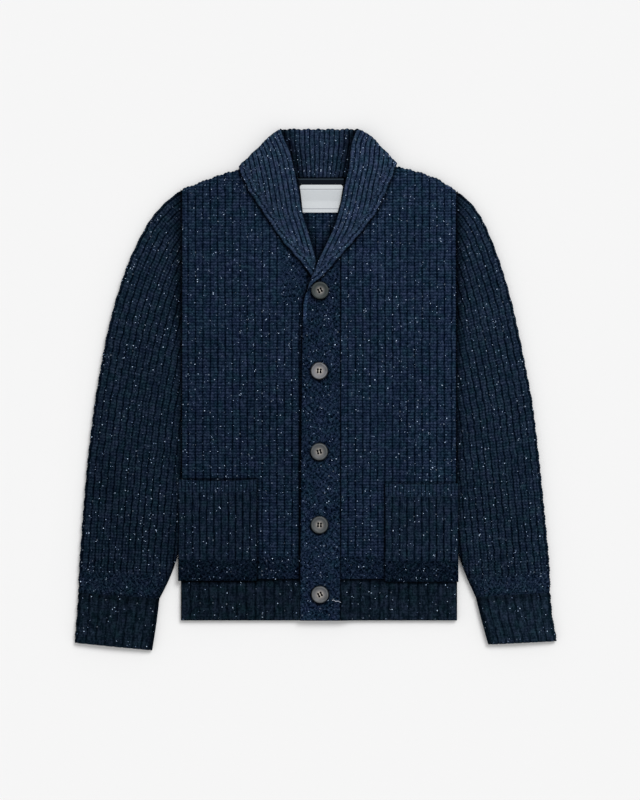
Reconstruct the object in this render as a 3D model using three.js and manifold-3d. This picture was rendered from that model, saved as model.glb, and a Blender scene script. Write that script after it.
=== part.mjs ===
// A buttoned shawl collar cardigan in heavy rib knit, laid flat on its back.
// Millimetres, +Z up, +Y towards the collar. Left and right are those of someone who looks down on it.
import * as THREE from "three";
import { mergeVertices } from "three/addons/utils/BufferGeometryUtils.js";
import Module from "manifold-3d";

const wasm = await Module();
wasm.setup();

// The cloth: a wall of knit, what a rib stands out of it, and the gap between pieces that touch.
const wall = 3;
const ribRise = 1.2;
const gap = 0.3;

// The layers, counted up from the surface that the cardigan lies on.
const layer = wall + gap;
const frontZ = layer;
const onFrontZ = frontZ + wall + ribRise + gap; // for what lies on the ribs of a front: the pockets and the band
const onShoulderZ = onFrontZ + layer; // for the lapels, where the leaf of the collar lies below the panels
const onBandZ = 12.4; // for the right lapel, above the band's seam with the front and its climbing ribs

// Rib pitches, each the width of one raised rib and its gutter.
const bodyPitch = 11.1;
const hemPitch = 14.4;
const pocketPitch = 10.5;
const cuffRibs = 8;
const sleeveRibs = 13;
const collarPitch = 7.2;

// The body, from the hem's edge up to the neck.
const bodyLeft = -200.5;
const bodyRight = 210;
const hemLeft = -202;
const hemRight = 211.5;
const hemBottom = -345.8;
const hemTop = -284.3;
const mossTop = -249.8;
const neckSeamY = 315.8;
const shoulderTop = 340;
const liftFromY = 282; // above here the panels lie on the part of the collar that folds behind the neck
const liftFullY = 298;
const seamLiftWidth = 20; // the right front climbs over this width to the band that laps over the left one

// The button band, and the buttons on it.
const bandRight = 36.5;
const bandTuck = 3; // how far the left front reaches in below the band's edge
const buttonX = 5.4;
const buttonRadius = 12.9;
const buttonHeight = 4;
const buttons = [
  { y: 147.8, x: 5.9, turn: 27, tilt: 5, raise: 1.3 },
  { y: 27.8, x: buttonX - 0.4, turn: -3, tilt: 0, raise: 0 },
  { y: -92.9, x: buttonX - 0.4, turn: 14, tilt: 0, raise: 0 },
  { y: -202.2, x: buttonX, turn: -3, tilt: 0, raise: 0 },
  { y: -306.2, x: buttonX + 0.7, turn: 27, tilt: 0, raise: 0 },
];

// The free edge of the band, from the end of the lapel down to the hem.
const bandEdge = [
  { x: -9.6, y: 152.3 },
  { x: -14.1, y: 134.3 },
  { x: -18.6, y: 104.3 },
  { x: -20.9, y: 59.3 },
  { x: -23.9, y: hemBottom },
];

// Each sleeve, from above the shoulder to its cuff: the ends of a line across it, and how far its ribs stand out.
const sleeveRows = {
  left: [
    { outerX: -186, outerY: 309, innerX: -96, innerY: 196, rise: 1 },
    { outerX: -223, outerY: 284, innerX: -127, innerY: 179, rise: 1 },
    { outerX: -250, outerY: 254, innerX: -140, innerY: 168, rise: 1 },
    { outerX: -280, outerY: 194, innerX: -160, innerY: 142, rise: 1 },
    { outerX: -300, outerY: 134, innerX: -180, innerY: 98, rise: 1 },
    { outerX: -315, outerY: 74, innerX: -201.3, innerY: 47, rise: 1 },
    { outerX: -331, outerY: -16, innerX: -201.3, innerY: -39, rise: 1 },
    { outerX: -342, outerY: -106, innerX: -201.3, innerY: -120, rise: 1 },
    { outerX: -349.5, outerY: -196, innerX: -201.3, innerY: -206, rise: 1 },
    { outerX: -353, outerY: -246, innerX: -206, innerY: -248, rise: 1 },
    { outerX: -355, outerY: -271, innerX: -217, innerY: -280, rise: 1 },
    { outerX: -355.1, outerY: -273, innerX: -218, innerY: -282, rise: 0.4 },
    { outerX: -355.5, outerY: -304, innerX: -234, innerY: -313, rise: 0.4 },
  ],
  right: [
    { outerX: 196, outerY: 306, innerX: 106, innerY: 193, rise: 1 },
    { outerX: 229.7, outerY: 284.3, innerX: 134, innerY: 179, rise: 1 },
    { outerX: 250.7, outerY: 254.3, innerX: 145, innerY: 166, rise: 1 },
    { outerX: 274.7, outerY: 194.3, innerX: 164, innerY: 142, rise: 1 },
    { outerX: 292.7, outerY: 134.3, innerX: 186, innerY: 98, rise: 1 },
    { outerX: 306, outerY: 74.3, innerX: 211, innerY: 50, rise: 1 },
    { outerX: 324, outerY: -15.8, innerX: 211, innerY: -38, rise: 1 },
    { outerX: 334.7, outerY: -105.8, innerX: 211, innerY: -117, rise: 1 },
    { outerX: 343.7, outerY: -195.8, innerX: 211, innerY: -206, rise: 1 },
    { outerX: 348.5, outerY: -245, innerX: 213.5, innerY: -252, rise: 1 },
    { outerX: 350.7, outerY: -275, innerX: 226, innerY: -282, rise: 1 },
    { outerX: 350.7, outerY: -277, innerX: 227.2, innerY: -284, rise: 0.4 },
    { outerX: 351, outerY: -304, innerX: 239, innerY: -310.5, rise: 0.4 },
  ],
};

// Each cuff, by the same columns, a gap below the sleeve's last row.
const cuffRows = {
  left: [
    { outerX: -355.6, outerY: -304.5, innerX: -234.4, innerY: -313.6, rise: 1 },
    { outerX: -357.6, outerY: -334, innerX: -238, innerY: -346, rise: 1 },
    { outerX: -361.4, outerY: -378.8, innerX: -245, innerY: -390.2, rise: 1 },
  ],
  right: [
    { outerX: 351.2, outerY: -304.5, innerX: 239.4, innerY: -311, rise: 1 },
    { outerX: 353.6, outerY: -340, innerX: 247.6, innerY: -345, rise: 1 },
    { outerX: 361.4, outerY: -376.4, innerX: 258, innerY: -381.5, rise: 1 },
  ],
};

// A sleeve lies as a flattened tube, a little fuller at its middle than at its edges.
const tubeHeight = 7.4;
const tubeCrown = 2;
const tubeEdge = 3.5; // how far in its rounded edge runs

// The collar's inner edge, where it rolls over, down each side, and its free edge on the chest.
const rollEdge = {
  left: [
    { x: -52.4, y: 388 },
    { x: -49.4, y: 378.8 },
    { x: -37.4, y: 353.3 },
    { x: -28.4, y: 311.3 },
    { x: -20.9, y: 266.3 },
    { x: -7.4, y: 222.8 },
    { x: 1.4, y: 193.4 },
    { x: -2.5, y: 176 },
    { x: -6, y: 168 },
  ],
  right: [
    { x: 62.4, y: 388 },
    { x: 52.7, y: 372.8 },
    { x: 49.7, y: 332.3 },
    { x: 42.9, y: 306.8 },
    { x: 36.9, y: 275.3 },
    { x: 27.2, y: 242.3 },
    { x: 15.2, y: 218.3 },
    { x: 3.5, y: 193 },
    { x: -5.1, y: 171.8 },
    { x: -11, y: 158 },
    { x: -13, y: 148 },
  ],
};
const lapelOutline = {
  left: [
    { x: -54, y: 389.5 },
    { x: -65.9, y: 381.8 },
    { x: -116.9, y: 332.3 },
    { x: -101.9, y: 299.3 },
    { x: -79.4, y: 264.8 },
    { x: -48.9, y: 219.8 },
    { x: -19.4, y: 186.8 },
    { x: -7.9, y: 171 },
    { x: 2.2, y: 192.3 },
    { x: 6, y: 230 },
    { x: -10, y: 389.5 },
  ],
  right: [
    { x: 63.2, y: 389.5 },
    { x: 81.2, y: 380.3 },
    { x: 121.7, y: 338.3 },
    { x: 109.7, y: 306.8 },
    { x: 91.7, y: 266.3 },
    { x: 63.2, y: 228.8 },
    { x: 30.9, y: 192.8 },
    { x: 9.5, y: 168 },
    { x: -1, y: 160.5 },
    { x: -10, y: 152 },
    { x: -13.5, y: 147 },
    { x: -14, y: 158 },
    { x: -8, y: 175 },
    { x: 2.9, y: 194 },
    { x: 10, y: 389.5 },
  ],
};
const standDepth = 16.5; // from the rolled edge back to the neck seam, below the lapel
const rollRadius = 3.5;

// The part of the collar behind the neck: its rolled top, and the leaf that is folded under the back.
const backRollY = 390.7;
const backRoll = { left: -54, right: 64.5 };
const backOutline = [
  { x: -42.6, y: neckSeamY + gap },
  { x: 51.6, y: neckSeamY + gap },
  { x: 56, y: 333 },
  { x: backRoll.right + 1, y: 384 },
  { x: backRoll.right + 1, y: backRollY + 1 },
  { x: backRoll.left - 1, y: backRollY + 1 },
  { x: backRoll.left - 1, y: 386 },
  { x: -47.4, y: 331 },
];
const leafOutline = [
  { x: -117, y: 331.8 },
  { x: -92, y: 308 },
  { x: -50, y: 299.5 },
  { x: 54, y: 299.5 },
  { x: 96, y: 308 },
  { x: 121.8, y: 337.8 },
  { x: 110, y: 345 },
  { x: -105, y: 341 },
];
const shoulderFold = {
  left: [
    { x: -115.5, y: 332.4 },
    { x: -66.5, y: 379.6 },
    { x: -54, y: 387.5 },
    { x: -43, y: 384 },
    { x: -36, y: 350 },
    { x: -39, y: 330.5 },
    { x: -60, y: 331 },
  ],
  right: [
    { x: 120, y: 338.3 },
    { x: 81, y: 378.5 },
    { x: 64, y: 387.5 },
    { x: 54, y: 384 },
    { x: 49, y: 350 },
    { x: 52, y: 332.5 },
    { x: 72, y: 334 },
  ],
};

// Half of a panel's edge at the top: the shoulder, then the neckline, which the collar hides.
const shoulderEdge = {
  left: [
    { x: bodyLeft, y: 299.2 },
    { x: -161.9, y: 314.3 },
    { x: -137.9, y: 323 },
    { x: -118.4, y: 328.6 },
    { x: -81, y: 329 },
    { x: -47.9, y: 326.3 },
  ],
  right: [
    { x: bodyRight, y: 296.3 },
    { x: 184.7, y: 314.3 },
    { x: 162.2, y: 323 },
    { x: 123.2, y: 333.6 },
    { x: 90, y: 331.5 },
    { x: 66.5, y: 327.8 },
  ],
};
const neckline = {
  left: [
    { x: -44.9, y: 311.3 },
    { x: -41, y: 286.3 },
    { x: -34.5, y: 252 },
    { x: -24.5, y: 217 },
    { x: -17.8, y: 200 },
    { x: -16, y: 191 },
    { x: -8, y: 178 },
    { x: -6.9, y: 160 },
  ],
  right: [
    { x: 61.3, y: 313 },
    { x: 59.7, y: 306.8 },
    { x: 53.9, y: 275.3 },
    { x: 44.2, y: 242.3 },
    { x: bandRight + 0.4, y: 228 },
  ],
};

const pockets = {
  left: { from: -206, to: -88, top: -134.3, bottom: -286.5, sag: 3 },
  right: { from: 103, to: 213.2, top: -140.3, bottom: -288, sag: 2 },
};
const pocketHem = 18;
const pocketMoss = 32;

const label = { left: -24.3, right: 40.6, top: 306.6, bottom: 265, corner: 4, thick: 1 };
const tape = { left: -26, right: 41.5, height: 9, thick: 1 };

// Where a rib's crest begins and ends, as parts of its pitch.
const ribShape = [
  { part: 0.08, height: 0 },
  { part: 0.26, height: 1 },
  { part: 0.72, height: 1 },
  { part: 0.9, height: 0 },
];

const knit = new THREE.MeshStandardMaterial({ color: 0x1c2a3e, roughness: 0.95, metalness: 0 });
const collarKnit = new THREE.MeshStandardMaterial({ color: 0x22304a, roughness: 0.95, metalness: 0 });
const tapeCloth = new THREE.MeshStandardMaterial({ color: 0x10151f, roughness: 0.9, metalness: 0 });
const labelCloth = new THREE.MeshStandardMaterial({ color: 0xd0d4da, roughness: 0.8, metalness: 0 });
const horn = new THREE.MeshStandardMaterial({ color: 0x5f5c5e, roughness: 0.4, metalness: 0 });

const cardigan = new THREE.Group();

function addPiece(name, geometry, material) {
  const mesh = new THREE.Mesh(geometry, material);
  mesh.name = name;
  cardigan.add(mesh);
  return mesh;
}

// A closed geometry as a solid for booleans. A geometry that is inside out is turned.
function solidOf(geometry) {
  geometry.deleteAttribute("normal");
  geometry.deleteAttribute("uv");
  const merged = mergeVertices(geometry, 1e-4);
  const triVerts = new Uint32Array(merged.index.array);
  const make = () =>
    new wasm.Manifold(
      new wasm.Mesh({ numProp: 3, vertProperties: merged.attributes.position.array, triVerts }),
    );
  const solid = make();
  if (solid.volume() > 0) return solid;
  for (let i = 0; i < triVerts.length; i += 3) {
    [triVerts[i], triVerts[i + 1]] = [triVerts[i + 1], triVerts[i]];
  }
  return make();
}

function geometryOf(solid) {
  const { vertProperties, triVerts } = solid.getMesh();
  return new THREE.BufferGeometry()
    .setAttribute("position", new THREE.BufferAttribute(vertProperties, 3))
    .setIndex(new THREE.BufferAttribute(triVerts, 1));
}

// A solid through closed profiles. Each row stands at x, y and gives its profile as [distance along dx, dy, height].
function loft(rows) {
  const flat = rows[0].profile.map(([u, z]) => new THREE.Vector2(u, z));
  const clockwise = THREE.ShapeUtils.area(flat) < 0;
  const profiles = rows.map(({ profile }) => (clockwise ? profile.toReversed() : profile));
  const count = flat.length;
  const position = rows.flatMap(({ x, y, dx, dy }, r) =>
    profiles[r].flatMap(([u, z]) => [x + dx * u, y + dy * u, z]),
  );
  const index = [];
  for (let r = 0; r < rows.length - 1; r++) {
    for (let i = 0; i < count; i++) {
      const a = r * count + i;
      const b = r * count + ((i + 1) % count);
      index.push(a, a + count, b + count, a, b + count, b);
    }
  }
  const cap = (r) =>
    THREE.ShapeUtils.triangulateShape(
      profiles[r].map(([u, z]) => new THREE.Vector2(u, z)),
      [],
    ).map((face) => face.map((i) => i + r * count));
  cap(0).forEach(([a, b, c]) => index.push(a, b, c));
  cap(rows.length - 1).forEach(([a, b, c]) => index.push(c, b, a));
  return solidOf(
    new THREE.BufferGeometry()
      .setAttribute("position", new THREE.Float32BufferAttribute(position, 3))
      .setIndex(index),
  );
}

// The space above and below an outline, to cut a piece out of its cloth.
function prism(outline, low, high) {
  const shape = new THREE.Shape(outline.map(({ x, y }) => new THREE.Vector2(x, y)));
  const geometry = new THREE.ExtrudeGeometry(shape, { depth: high - low, bevelEnabled: false });
  return solidOf(geometry.translate(0, 0, low));
}

const highest = 60;
const cutOut = (cloth, outline) => cloth.intersect(prism(outline, -1, highest));

// The heights across a row of ribs, as [distance, height above the wall]. With no rise the wall is plain.
function ribs(from, count, pitch, rise) {
  if (!rise) return [[from, 0], [from + count * pitch, 0]];
  const crests = Array.from({ length: count }, (_, k) =>
    ribShape.map(({ part, height }) => [from + (k + part) * pitch, rise * height]),
  ).flat();
  return [[from, 0], ...crests, [from + count * pitch, 0]];
}

// A wall whose underside is at level(u) and whose top carries ribs. Its breaks are where the level bends.
function wallProfile(from, count, pitch, rise, level, breaks = []) {
  const under = [from, ...breaks, from + count * pitch].map((u) => [u, level(u)]);
  const top = ribs(from, count, pitch, rise).map(([u, h]) => [u, level(u) + wall + h]);
  return [...under, ...top.toReversed()];
}

const neckLift = (y) => layer * THREE.MathUtils.clamp((y - liftFromY) / (liftFullY - liftFromY), 0, 1);

// A panel of the body, ribbed up and down, before it is cut to its outline.
function bodyCloth(from, count, baseZ, rise, seamLift = () => 0, breaks = []) {
  const rows = [
    { y: hemTop + gap, rise: 0.4 * rise },
    { y: mossTop, rise: 0.4 * rise },
    { y: mossTop + 2, rise },
    { y: liftFromY, rise },
    { y: liftFullY, rise },
    { y: shoulderTop, rise },
  ];
  return loft(
    rows.map((row) => {
      const level = (u) => baseZ + neckLift(row.y) + seamLift(u);
      return {
        x: 0,
        y: row.y,
        dx: 1,
        dy: 0,
        profile: wallProfile(from, count, bodyPitch, row.rise, level, breaks),
      };
    }),
  );
}

const shifted = (edge, dx) => edge.map(({ x, y }) => ({ x: x + dx, y }));

function addBack() {
  const outline = [
    { x: bodyLeft, y: hemTop + gap },
    { x: bodyRight, y: hemTop + gap },
    ...shoulderEdge.right,
    { x: 52, y: neckSeamY },
    { x: -43, y: neckSeamY },
    ...shoulderEdge.left.toReversed(),
  ];
  const cloth = bodyCloth(bodyLeft - 2, 38, 0, 0);
  addPiece("back", geometryOf(cutOut(cloth, outline)), knit);
}

function addFronts() {
  const leftOutline = [
    { x: bodyLeft, y: hemTop + gap },
    ...shoulderEdge.left,
    ...neckline.left,
    ...shifted(bandEdge.slice(1, -1), bandTuck),
    { x: bandEdge.at(-1).x + bandTuck, y: hemTop + gap },
  ];
  const leftCloth = bodyCloth(bodyLeft - 2, 19, frontZ, ribRise);
  addPiece("front_left", geometryOf(cutOut(leftCloth, leftOutline)), knit);

  const seamX = bandRight + gap;
  const rightOutline = [
    { x: seamX, y: hemTop + gap },
    { x: bodyRight, y: hemTop + gap },
    ...shoulderEdge.right,
    ...neckline.right,
  ];
  const climb = (u) => (onFrontZ - frontZ) * THREE.MathUtils.clamp(1 - (u - seamX) / seamLiftWidth, 0, 1);
  const rightCloth = bodyCloth(seamX, 16, frontZ, ribRise, climb, [seamX + seamLiftWidth]);
  addPiece("front_right", geometryOf(cutOut(rightCloth, rightOutline)), knit);
}

// A rib along the hem: straight, with the last ribs fitted to its width.
function hemGeometry(from, to, level, rise, breaks = []) {
  const count = Math.round((to - from) / hemPitch);
  const pitch = (to - from) / count;
  const rows = [hemTop, hemBottom].map((y) => ({
    x: 0,
    y,
    dx: 1,
    dy: 0,
    profile: wallProfile(from, count, pitch, rise, level, breaks),
  }));
  return geometryOf(loft(rows));
}

function addHem() {
  const seamX = bandRight + gap;
  const climb = (u) => frontZ + (onFrontZ - frontZ) * THREE.MathUtils.clamp(1 - (u - seamX) / seamLiftWidth, 0, 1);
  const leftEnd = bandEdge.at(-1).x + bandTuck;
  addPiece("hem_back", hemGeometry(hemLeft, hemRight, () => 0, 0), knit);
  addPiece("hem_front_left", hemGeometry(hemLeft, leftEnd, () => frontZ, ribRise), knit);
  addPiece("hem_front_right", hemGeometry(seamX, hemRight, climb, ribRise, [seamX + seamLiftWidth]), knit);
}

// The two bands: the one that laps over carries the buttons' holes, and the one below it carries the buttons.
function addBands() {
  const over = [
    ...bandEdge.toReversed(),
    { x: -2.9, y: 158.3 },
    { x: 8, y: 172 },
    { x: 18, y: 187 },
    { x: 22, y: 195 },
    { x: 32.8, y: 217 },
    { x: bandRight, y: 226 },
    { x: bandRight, y: hemBottom },
  ];
  addPiece("band_over", geometryOf(prism(over, onFrontZ, onFrontZ + wall + ribRise / 2)), knit);
  const under = [
    ...shifted(bandEdge.slice(1), bandTuck + gap).toReversed(),
    { x: -6.5, y: 160 },
    { x: -1, y: 178 },
    { x: 14, y: 185 },
    { x: bandRight - 1, y: 190 },
    { x: bandRight - 1, y: hemBottom },
  ];
  addPiece("band_under", geometryOf(prism(under, frontZ, frontZ + wall + ribRise)), knit);
}

// The profile of a flattened tube, from its outer edge across, ribbed on top and flat below.
function tubeProfile(width, count, rise) {
  const middle = tubeHeight / 2;
  const pitch = (width - 2 * tubeEdge) / count;
  const crown = (u) => tubeCrown * Math.sin((Math.PI * u) / width);
  const top = ribs(tubeEdge, count, pitch, rise).map(([u, h]) => [u, tubeHeight + crown(u) + h]);
  return [
    [0, middle],
    [tubeEdge * 0.3, 1.2],
    [tubeEdge, 0],
    [width - tubeEdge, 0],
    [width - tubeEdge * 0.3, 1.2],
    [width, middle],
    [width - tubeEdge * 0.3, tubeHeight - 1.2],
    ...top.toReversed(),
    [tubeEdge * 0.3, tubeHeight - 1.2],
  ];
}

// The hollow inside it, a wall in from each face.
function hollowProfile(width) {
  const steps = 6;
  const inner = width - 2 * wall;
  const roof = Array.from({ length: steps + 1 }, (_, k) => {
    const u = wall + (inner * k) / steps;
    return [u, tubeHeight - wall + tubeCrown * Math.sin((Math.PI * u) / width)];
  });
  return [[wall, wall], [wall + inner, wall], ...roof.toReversed()];
}

function tubeRows(table, profileOf) {
  return table.map(({ outerX, outerY, innerX, innerY, rise }) => {
    const width = Math.hypot(innerX - outerX, innerY - outerY);
    return {
      x: outerX,
      y: outerY,
      dx: (innerX - outerX) / width,
      dy: (innerY - outerY) / width,
      profile: profileOf(width, rise),
    };
  });
}

// A table whose first and last rows are moved out along the tube, so that its hollow runs through both ends.
function lengthened(table) {
  const reach = 2;
  const beyond = (end, next) => {
    const length = Math.hypot(end.outerX - next.outerX, end.outerY - next.outerY);
    const dx = (reach * (end.outerX - next.outerX)) / length;
    const dy = (reach * (end.outerY - next.outerY)) / length;
    return {
      ...end,
      outerX: end.outerX + dx,
      outerY: end.outerY + dy,
      innerX: end.innerX + dx,
      innerY: end.innerY + dy,
    };
  };
  return [beyond(table[0], table[1]), ...table.slice(1, -1), beyond(table.at(-1), table.at(-2))];
}

function tubeSolid(table, count) {
  const outside = loft(tubeRows(table, (width, rise) => tubeProfile(width, count, rise * ribRise)));
  return outside.subtract(loft(tubeRows(lengthened(table), hollowProfile)));
}

function addSleeves() {
  const reach = 400;
  const sides = {
    left: { seam: bodyLeft - gap, away: 1 },
    right: { seam: bodyRight + gap, away: -1 },
  };
  for (const [side, { seam, away }] of Object.entries(sides)) {
    const beyondSeam = new THREE.BoxGeometry(reach, 2 * reach, 2 * highest);
    beyondSeam.translate(seam + (away * reach) / 2, 0, 0);
    const sleeve = tubeSolid(sleeveRows[side], sleeveRibs).subtract(solidOf(beyondSeam));
    addPiece("sleeve_" + side, geometryOf(sleeve), knit);
    addPiece("cuff_" + side, geometryOf(tubeSolid(cuffRows[side], cuffRibs)), knit);
  }
}

// The value of a column at y, in a table whose rows go down.
function at(table, y, column) {
  const below = table.findIndex((row) => row.y <= y);
  if (below <= 0) return table.at(below)[column];
  const a = table[below - 1];
  const b = table[below];
  return THREE.MathUtils.mapLinear(y, a.y, b.y, a[column], b[column]);
}

// What a lapel lies on and the height of its stand's underside, from the top down to its end.
const lapelLevels = {
  left: [
    { y: 388, fall: onShoulderZ, stand: 2 * layer },
    { y: liftFullY, fall: onShoulderZ, stand: 2 * layer },
    { y: liftFromY, fall: onFrontZ, stand: frontZ },
    { y: 196, fall: onFrontZ, stand: frontZ },
    { y: 190, fall: onFrontZ, stand: onFrontZ },
    { y: 168, fall: onFrontZ, stand: onFrontZ },
  ],
  right: [
    { y: 388, fall: onShoulderZ, stand: 2 * layer },
    { y: liftFullY, fall: onShoulderZ, stand: 2 * layer },
    { y: liftFromY, fall: onFrontZ + 0.6, stand: frontZ },
    { y: 262, fall: onFrontZ + 2.6, stand: frontZ },
    { y: 240, fall: onBandZ - 0.7, stand: onFrontZ },
    { y: 228, fall: onBandZ, stand: onFrontZ },
    { y: 196, fall: onBandZ, stand: onFrontZ },
    { y: 190, fall: onBandZ, stand: onBandZ },
    { y: 148, fall: onBandZ, stand: onBandZ },
  ],
};

// One side of the collar, which rolls over at its inner edge and lies on the front.
function lapel(side, outward) {
  const count = 14;
  const levels = lapelLevels[side];
  const roll = rollEdge[side];
  const ys = [...new Set([...roll, ...levels].map(({ y }) => y))].sort((a, b) => b - a);
  const rows = ys.map((y) => {
    const fall = at(levels, y, "fall");
    const low = at(levels, y, "stand");
    const top = fall + wall;
    const crests = ribs(rollRadius, count, collarPitch, ribRise * 0.8);
    const end = rollRadius + count * collarPitch;
    return {
      x: at(roll, y, "x"),
      y,
      dx: outward,
      dy: 0,
      profile: [
        [0, (low + top) / 2],
        [rollRadius * 0.3, low + 1],
        [rollRadius, low],
        [standDepth - gap, low],
        [standDepth - gap, fall],
        [end, fall],
        ...crests.map(([u, h]) => [u, top + h]).toReversed(),
        [rollRadius * 0.3, top - 1],
      ],
    };
  });
  return cutOut(loft(rows), lapelOutline[side]);
}

// The collar behind the neck: its rolled top edge, ribbed on the side that faces up.
function backOfCollar() {
  const span = backRoll.right - backRoll.left;
  const count = Math.round(span / collarPitch);
  const pitch = span / count;
  const rows = [
    { y: neckSeamY + gap, low: 0, top: frontZ + wall, rise: 1 },
    { y: backRollY - 3, low: 0, top: frontZ + wall, rise: 1 },
    { y: backRollY - 1, low: 1.2, top: frontZ + wall - 1, rise: 0.9 },
    { y: backRollY, low: 2.6, top: frontZ + wall - 2.6, rise: 0.6 },
  ];
  const cloth = loft(
    rows.map(({ y, low, top, rise }) => ({
      x: backRoll.left,
      y,
      dx: 1,
      dy: 0,
      profile: [
        [0, low],
        [span, low],
        ...ribs(0, count, pitch, rise * ribRise * 0.8)
          .map(([u, h]) => [u, top + h])
          .toReversed(),
      ],
    })),
  );
  return cutOut(cloth, backOutline);
}

function addCollar() {
  const foldTop = 13;
  const pieces = [
    backOfCollar(),
    prism(leafOutline, 0, wall),
    prism(shoulderFold.left, 0, foldTop),
    prism(shoulderFold.right, 0, foldTop),
    lapel("left", -1),
    lapel("right", 1),
  ];
  const collar = pieces.reduce((whole, piece) => whole.add(piece));
  addPiece("collar", geometryOf(collar), collarKnit);
}

// A patch pocket: ribs between a plain hem, which dips, and a band of moss stitch.
function addPockets() {
  for (const [side, { from, to, top, bottom, sag }] of Object.entries(pockets)) {
    const count = Math.round((to - from) / pocketPitch);
    const pitch = (to - from) / count;
    const rows = [
      { y: bottom, rise: 0.4 },
      { y: bottom + pocketMoss, rise: 0.4 },
      { y: bottom + pocketMoss + 2, rise: 1 },
      { y: top - pocketHem, rise: 1 },
      { y: top - pocketHem + 2, rise: 0.4 },
      { y: top, rise: 0.4 },
    ].map(({ y, rise }) => ({
      x: 0,
      y,
      dx: 1,
      dy: 0,
      profile: wallProfile(from, count, pitch, rise * ribRise, () => onFrontZ),
    }));
    const outline = new THREE.Path()
      .moveTo(from - 1, bottom - 1)
      .lineTo(to + 1, bottom - 1)
      .lineTo(to + 1, top - 1)
      .quadraticCurveTo((from + to) / 2, top - 2 * sag, from - 1, top - 1)
      .getPoints(8);
    addPiece("pocket_" + side, geometryOf(cutOut(loft(rows), outline)), knit);
  }
}

// A round button with a raised rim, a dished middle and four holes.
function buttonGeometry() {
  const profile = [
    { r: 0, z: 0 },
    { r: 9, z: 0 },
    { r: 12, z: 1.2 },
    { r: buttonRadius, z: 2.4 },
    { r: 12.2, z: 3.5 },
    { r: 11, z: buttonHeight },
    { r: 9.4, z: 3.6 },
    { r: 7.6, z: 2.7 },
    { r: 0, z: 2.4 },
  ];
  const segments = 24;
  const body = new THREE.LatheGeometry(
    profile.map(({ r, z }) => new THREE.Vector2(r, z)),
    segments,
  ).rotateX(Math.PI / 2);
  const holeRadius = 1;
  const holeX = 1.9;
  const holeY = 2.2;
  return [-1, 1]
    .flatMap((i) => [-1, 1].map((j) => ({ x: i * holeX, y: j * holeY })))
    .reduce((button, { x, y }) => {
      const hole = new THREE.CylinderGeometry(holeRadius, holeRadius, 4 * buttonHeight, 8);
      return button.subtract(solidOf(hole.rotateX(Math.PI / 2).translate(x, y, 0)));
    }, solidOf(body));
}

function addButtons() {
  const shape = geometryOf(buttonGeometry());
  const { degToRad } = THREE.MathUtils;
  buttons.forEach(({ x, y, turn, tilt, raise }, i) => {
    const button = addPiece("button_" + (i + 1), shape, horn);
    button.position.set(x, y, onFrontZ + wall + ribRise / 2 + gap + raise);
    button.rotation.set(0, degToRad(tilt), degToRad(turn), "ZYX");
  });
}

// The tape over the neck seam and the label below it, both on the inside of the back.
function addNeckTrim() {
  const tapeTop = neckSeamY - gap;
  const tapeSpan = [
    { x: tape.left, y: tapeTop - tape.height },
    { x: tape.right, y: tapeTop - tape.height },
    { x: tape.right, y: tapeTop },
    { x: tape.left, y: tapeTop },
  ];
  const insideZ = (y) => wall + neckLift(y) + gap;
  addPiece("neck_tape", geometryOf(prism(tapeSpan, insideZ(tapeTop), insideZ(tapeTop) + tape.thick)), tapeCloth);

  const { left, right, top, bottom, corner, thick } = label;
  const rows = [
    { y: bottom, insetLeft: 4.5, insetRight: 8 },
    { y: liftFromY, insetLeft: 2.7, insetRight: 3.4 },
    { y: liftFullY, insetLeft: 0.9, insetRight: 0.9 },
    { y: top - corner, insetLeft: 0, insetRight: 0 },
    { y: top - corner * 0.3, insetLeft: corner * 0.3, insetRight: corner * 0.3 },
    { y: top - gap, insetLeft: corner, insetRight: corner },
  ].map(({ y, insetLeft, insetRight }) => ({
    x: 0,
    y,
    dx: 1,
    dy: 0,
    profile: [
      [left + insetLeft, insideZ(y)],
      [right - insetRight, insideZ(y)],
      [right - insetRight, insideZ(y) + thick],
      [left + insetLeft, insideZ(y) + thick],
    ],
  }));
  addPiece("neck_label", geometryOf(loft(rows)), labelCloth);
}

addBack();
addFronts();
addHem();
addBands();
addSleeves();
addCollar();
addPockets();
addButtons();
addNeckTrim();

// The origin is on the surface that the cardigan lies on, below the middle of its outline.
const box = new THREE.Box3().setFromObject(cardigan);
const middle = box.getCenter(new THREE.Vector3());
cardigan.position.set(-middle.x, -middle.y, -box.min.z);

export default cardigan;
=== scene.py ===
import math
import bpy
import bmesh
import numpy as np
from mathutils import Matrix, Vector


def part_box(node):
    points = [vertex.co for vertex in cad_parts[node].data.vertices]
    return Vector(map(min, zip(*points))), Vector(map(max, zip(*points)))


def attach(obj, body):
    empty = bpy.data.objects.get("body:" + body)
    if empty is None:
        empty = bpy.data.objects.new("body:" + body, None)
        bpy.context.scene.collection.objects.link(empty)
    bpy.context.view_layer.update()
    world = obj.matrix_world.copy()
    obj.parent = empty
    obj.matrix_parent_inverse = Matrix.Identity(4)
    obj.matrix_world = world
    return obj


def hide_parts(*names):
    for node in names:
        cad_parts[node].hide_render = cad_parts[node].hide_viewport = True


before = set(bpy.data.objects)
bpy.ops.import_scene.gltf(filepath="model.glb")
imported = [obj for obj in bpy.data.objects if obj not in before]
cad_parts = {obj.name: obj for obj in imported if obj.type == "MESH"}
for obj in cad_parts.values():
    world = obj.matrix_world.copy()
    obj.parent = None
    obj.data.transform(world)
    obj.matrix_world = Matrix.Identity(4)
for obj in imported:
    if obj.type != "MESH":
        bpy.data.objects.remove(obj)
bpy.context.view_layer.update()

print("frame loaded")

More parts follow.
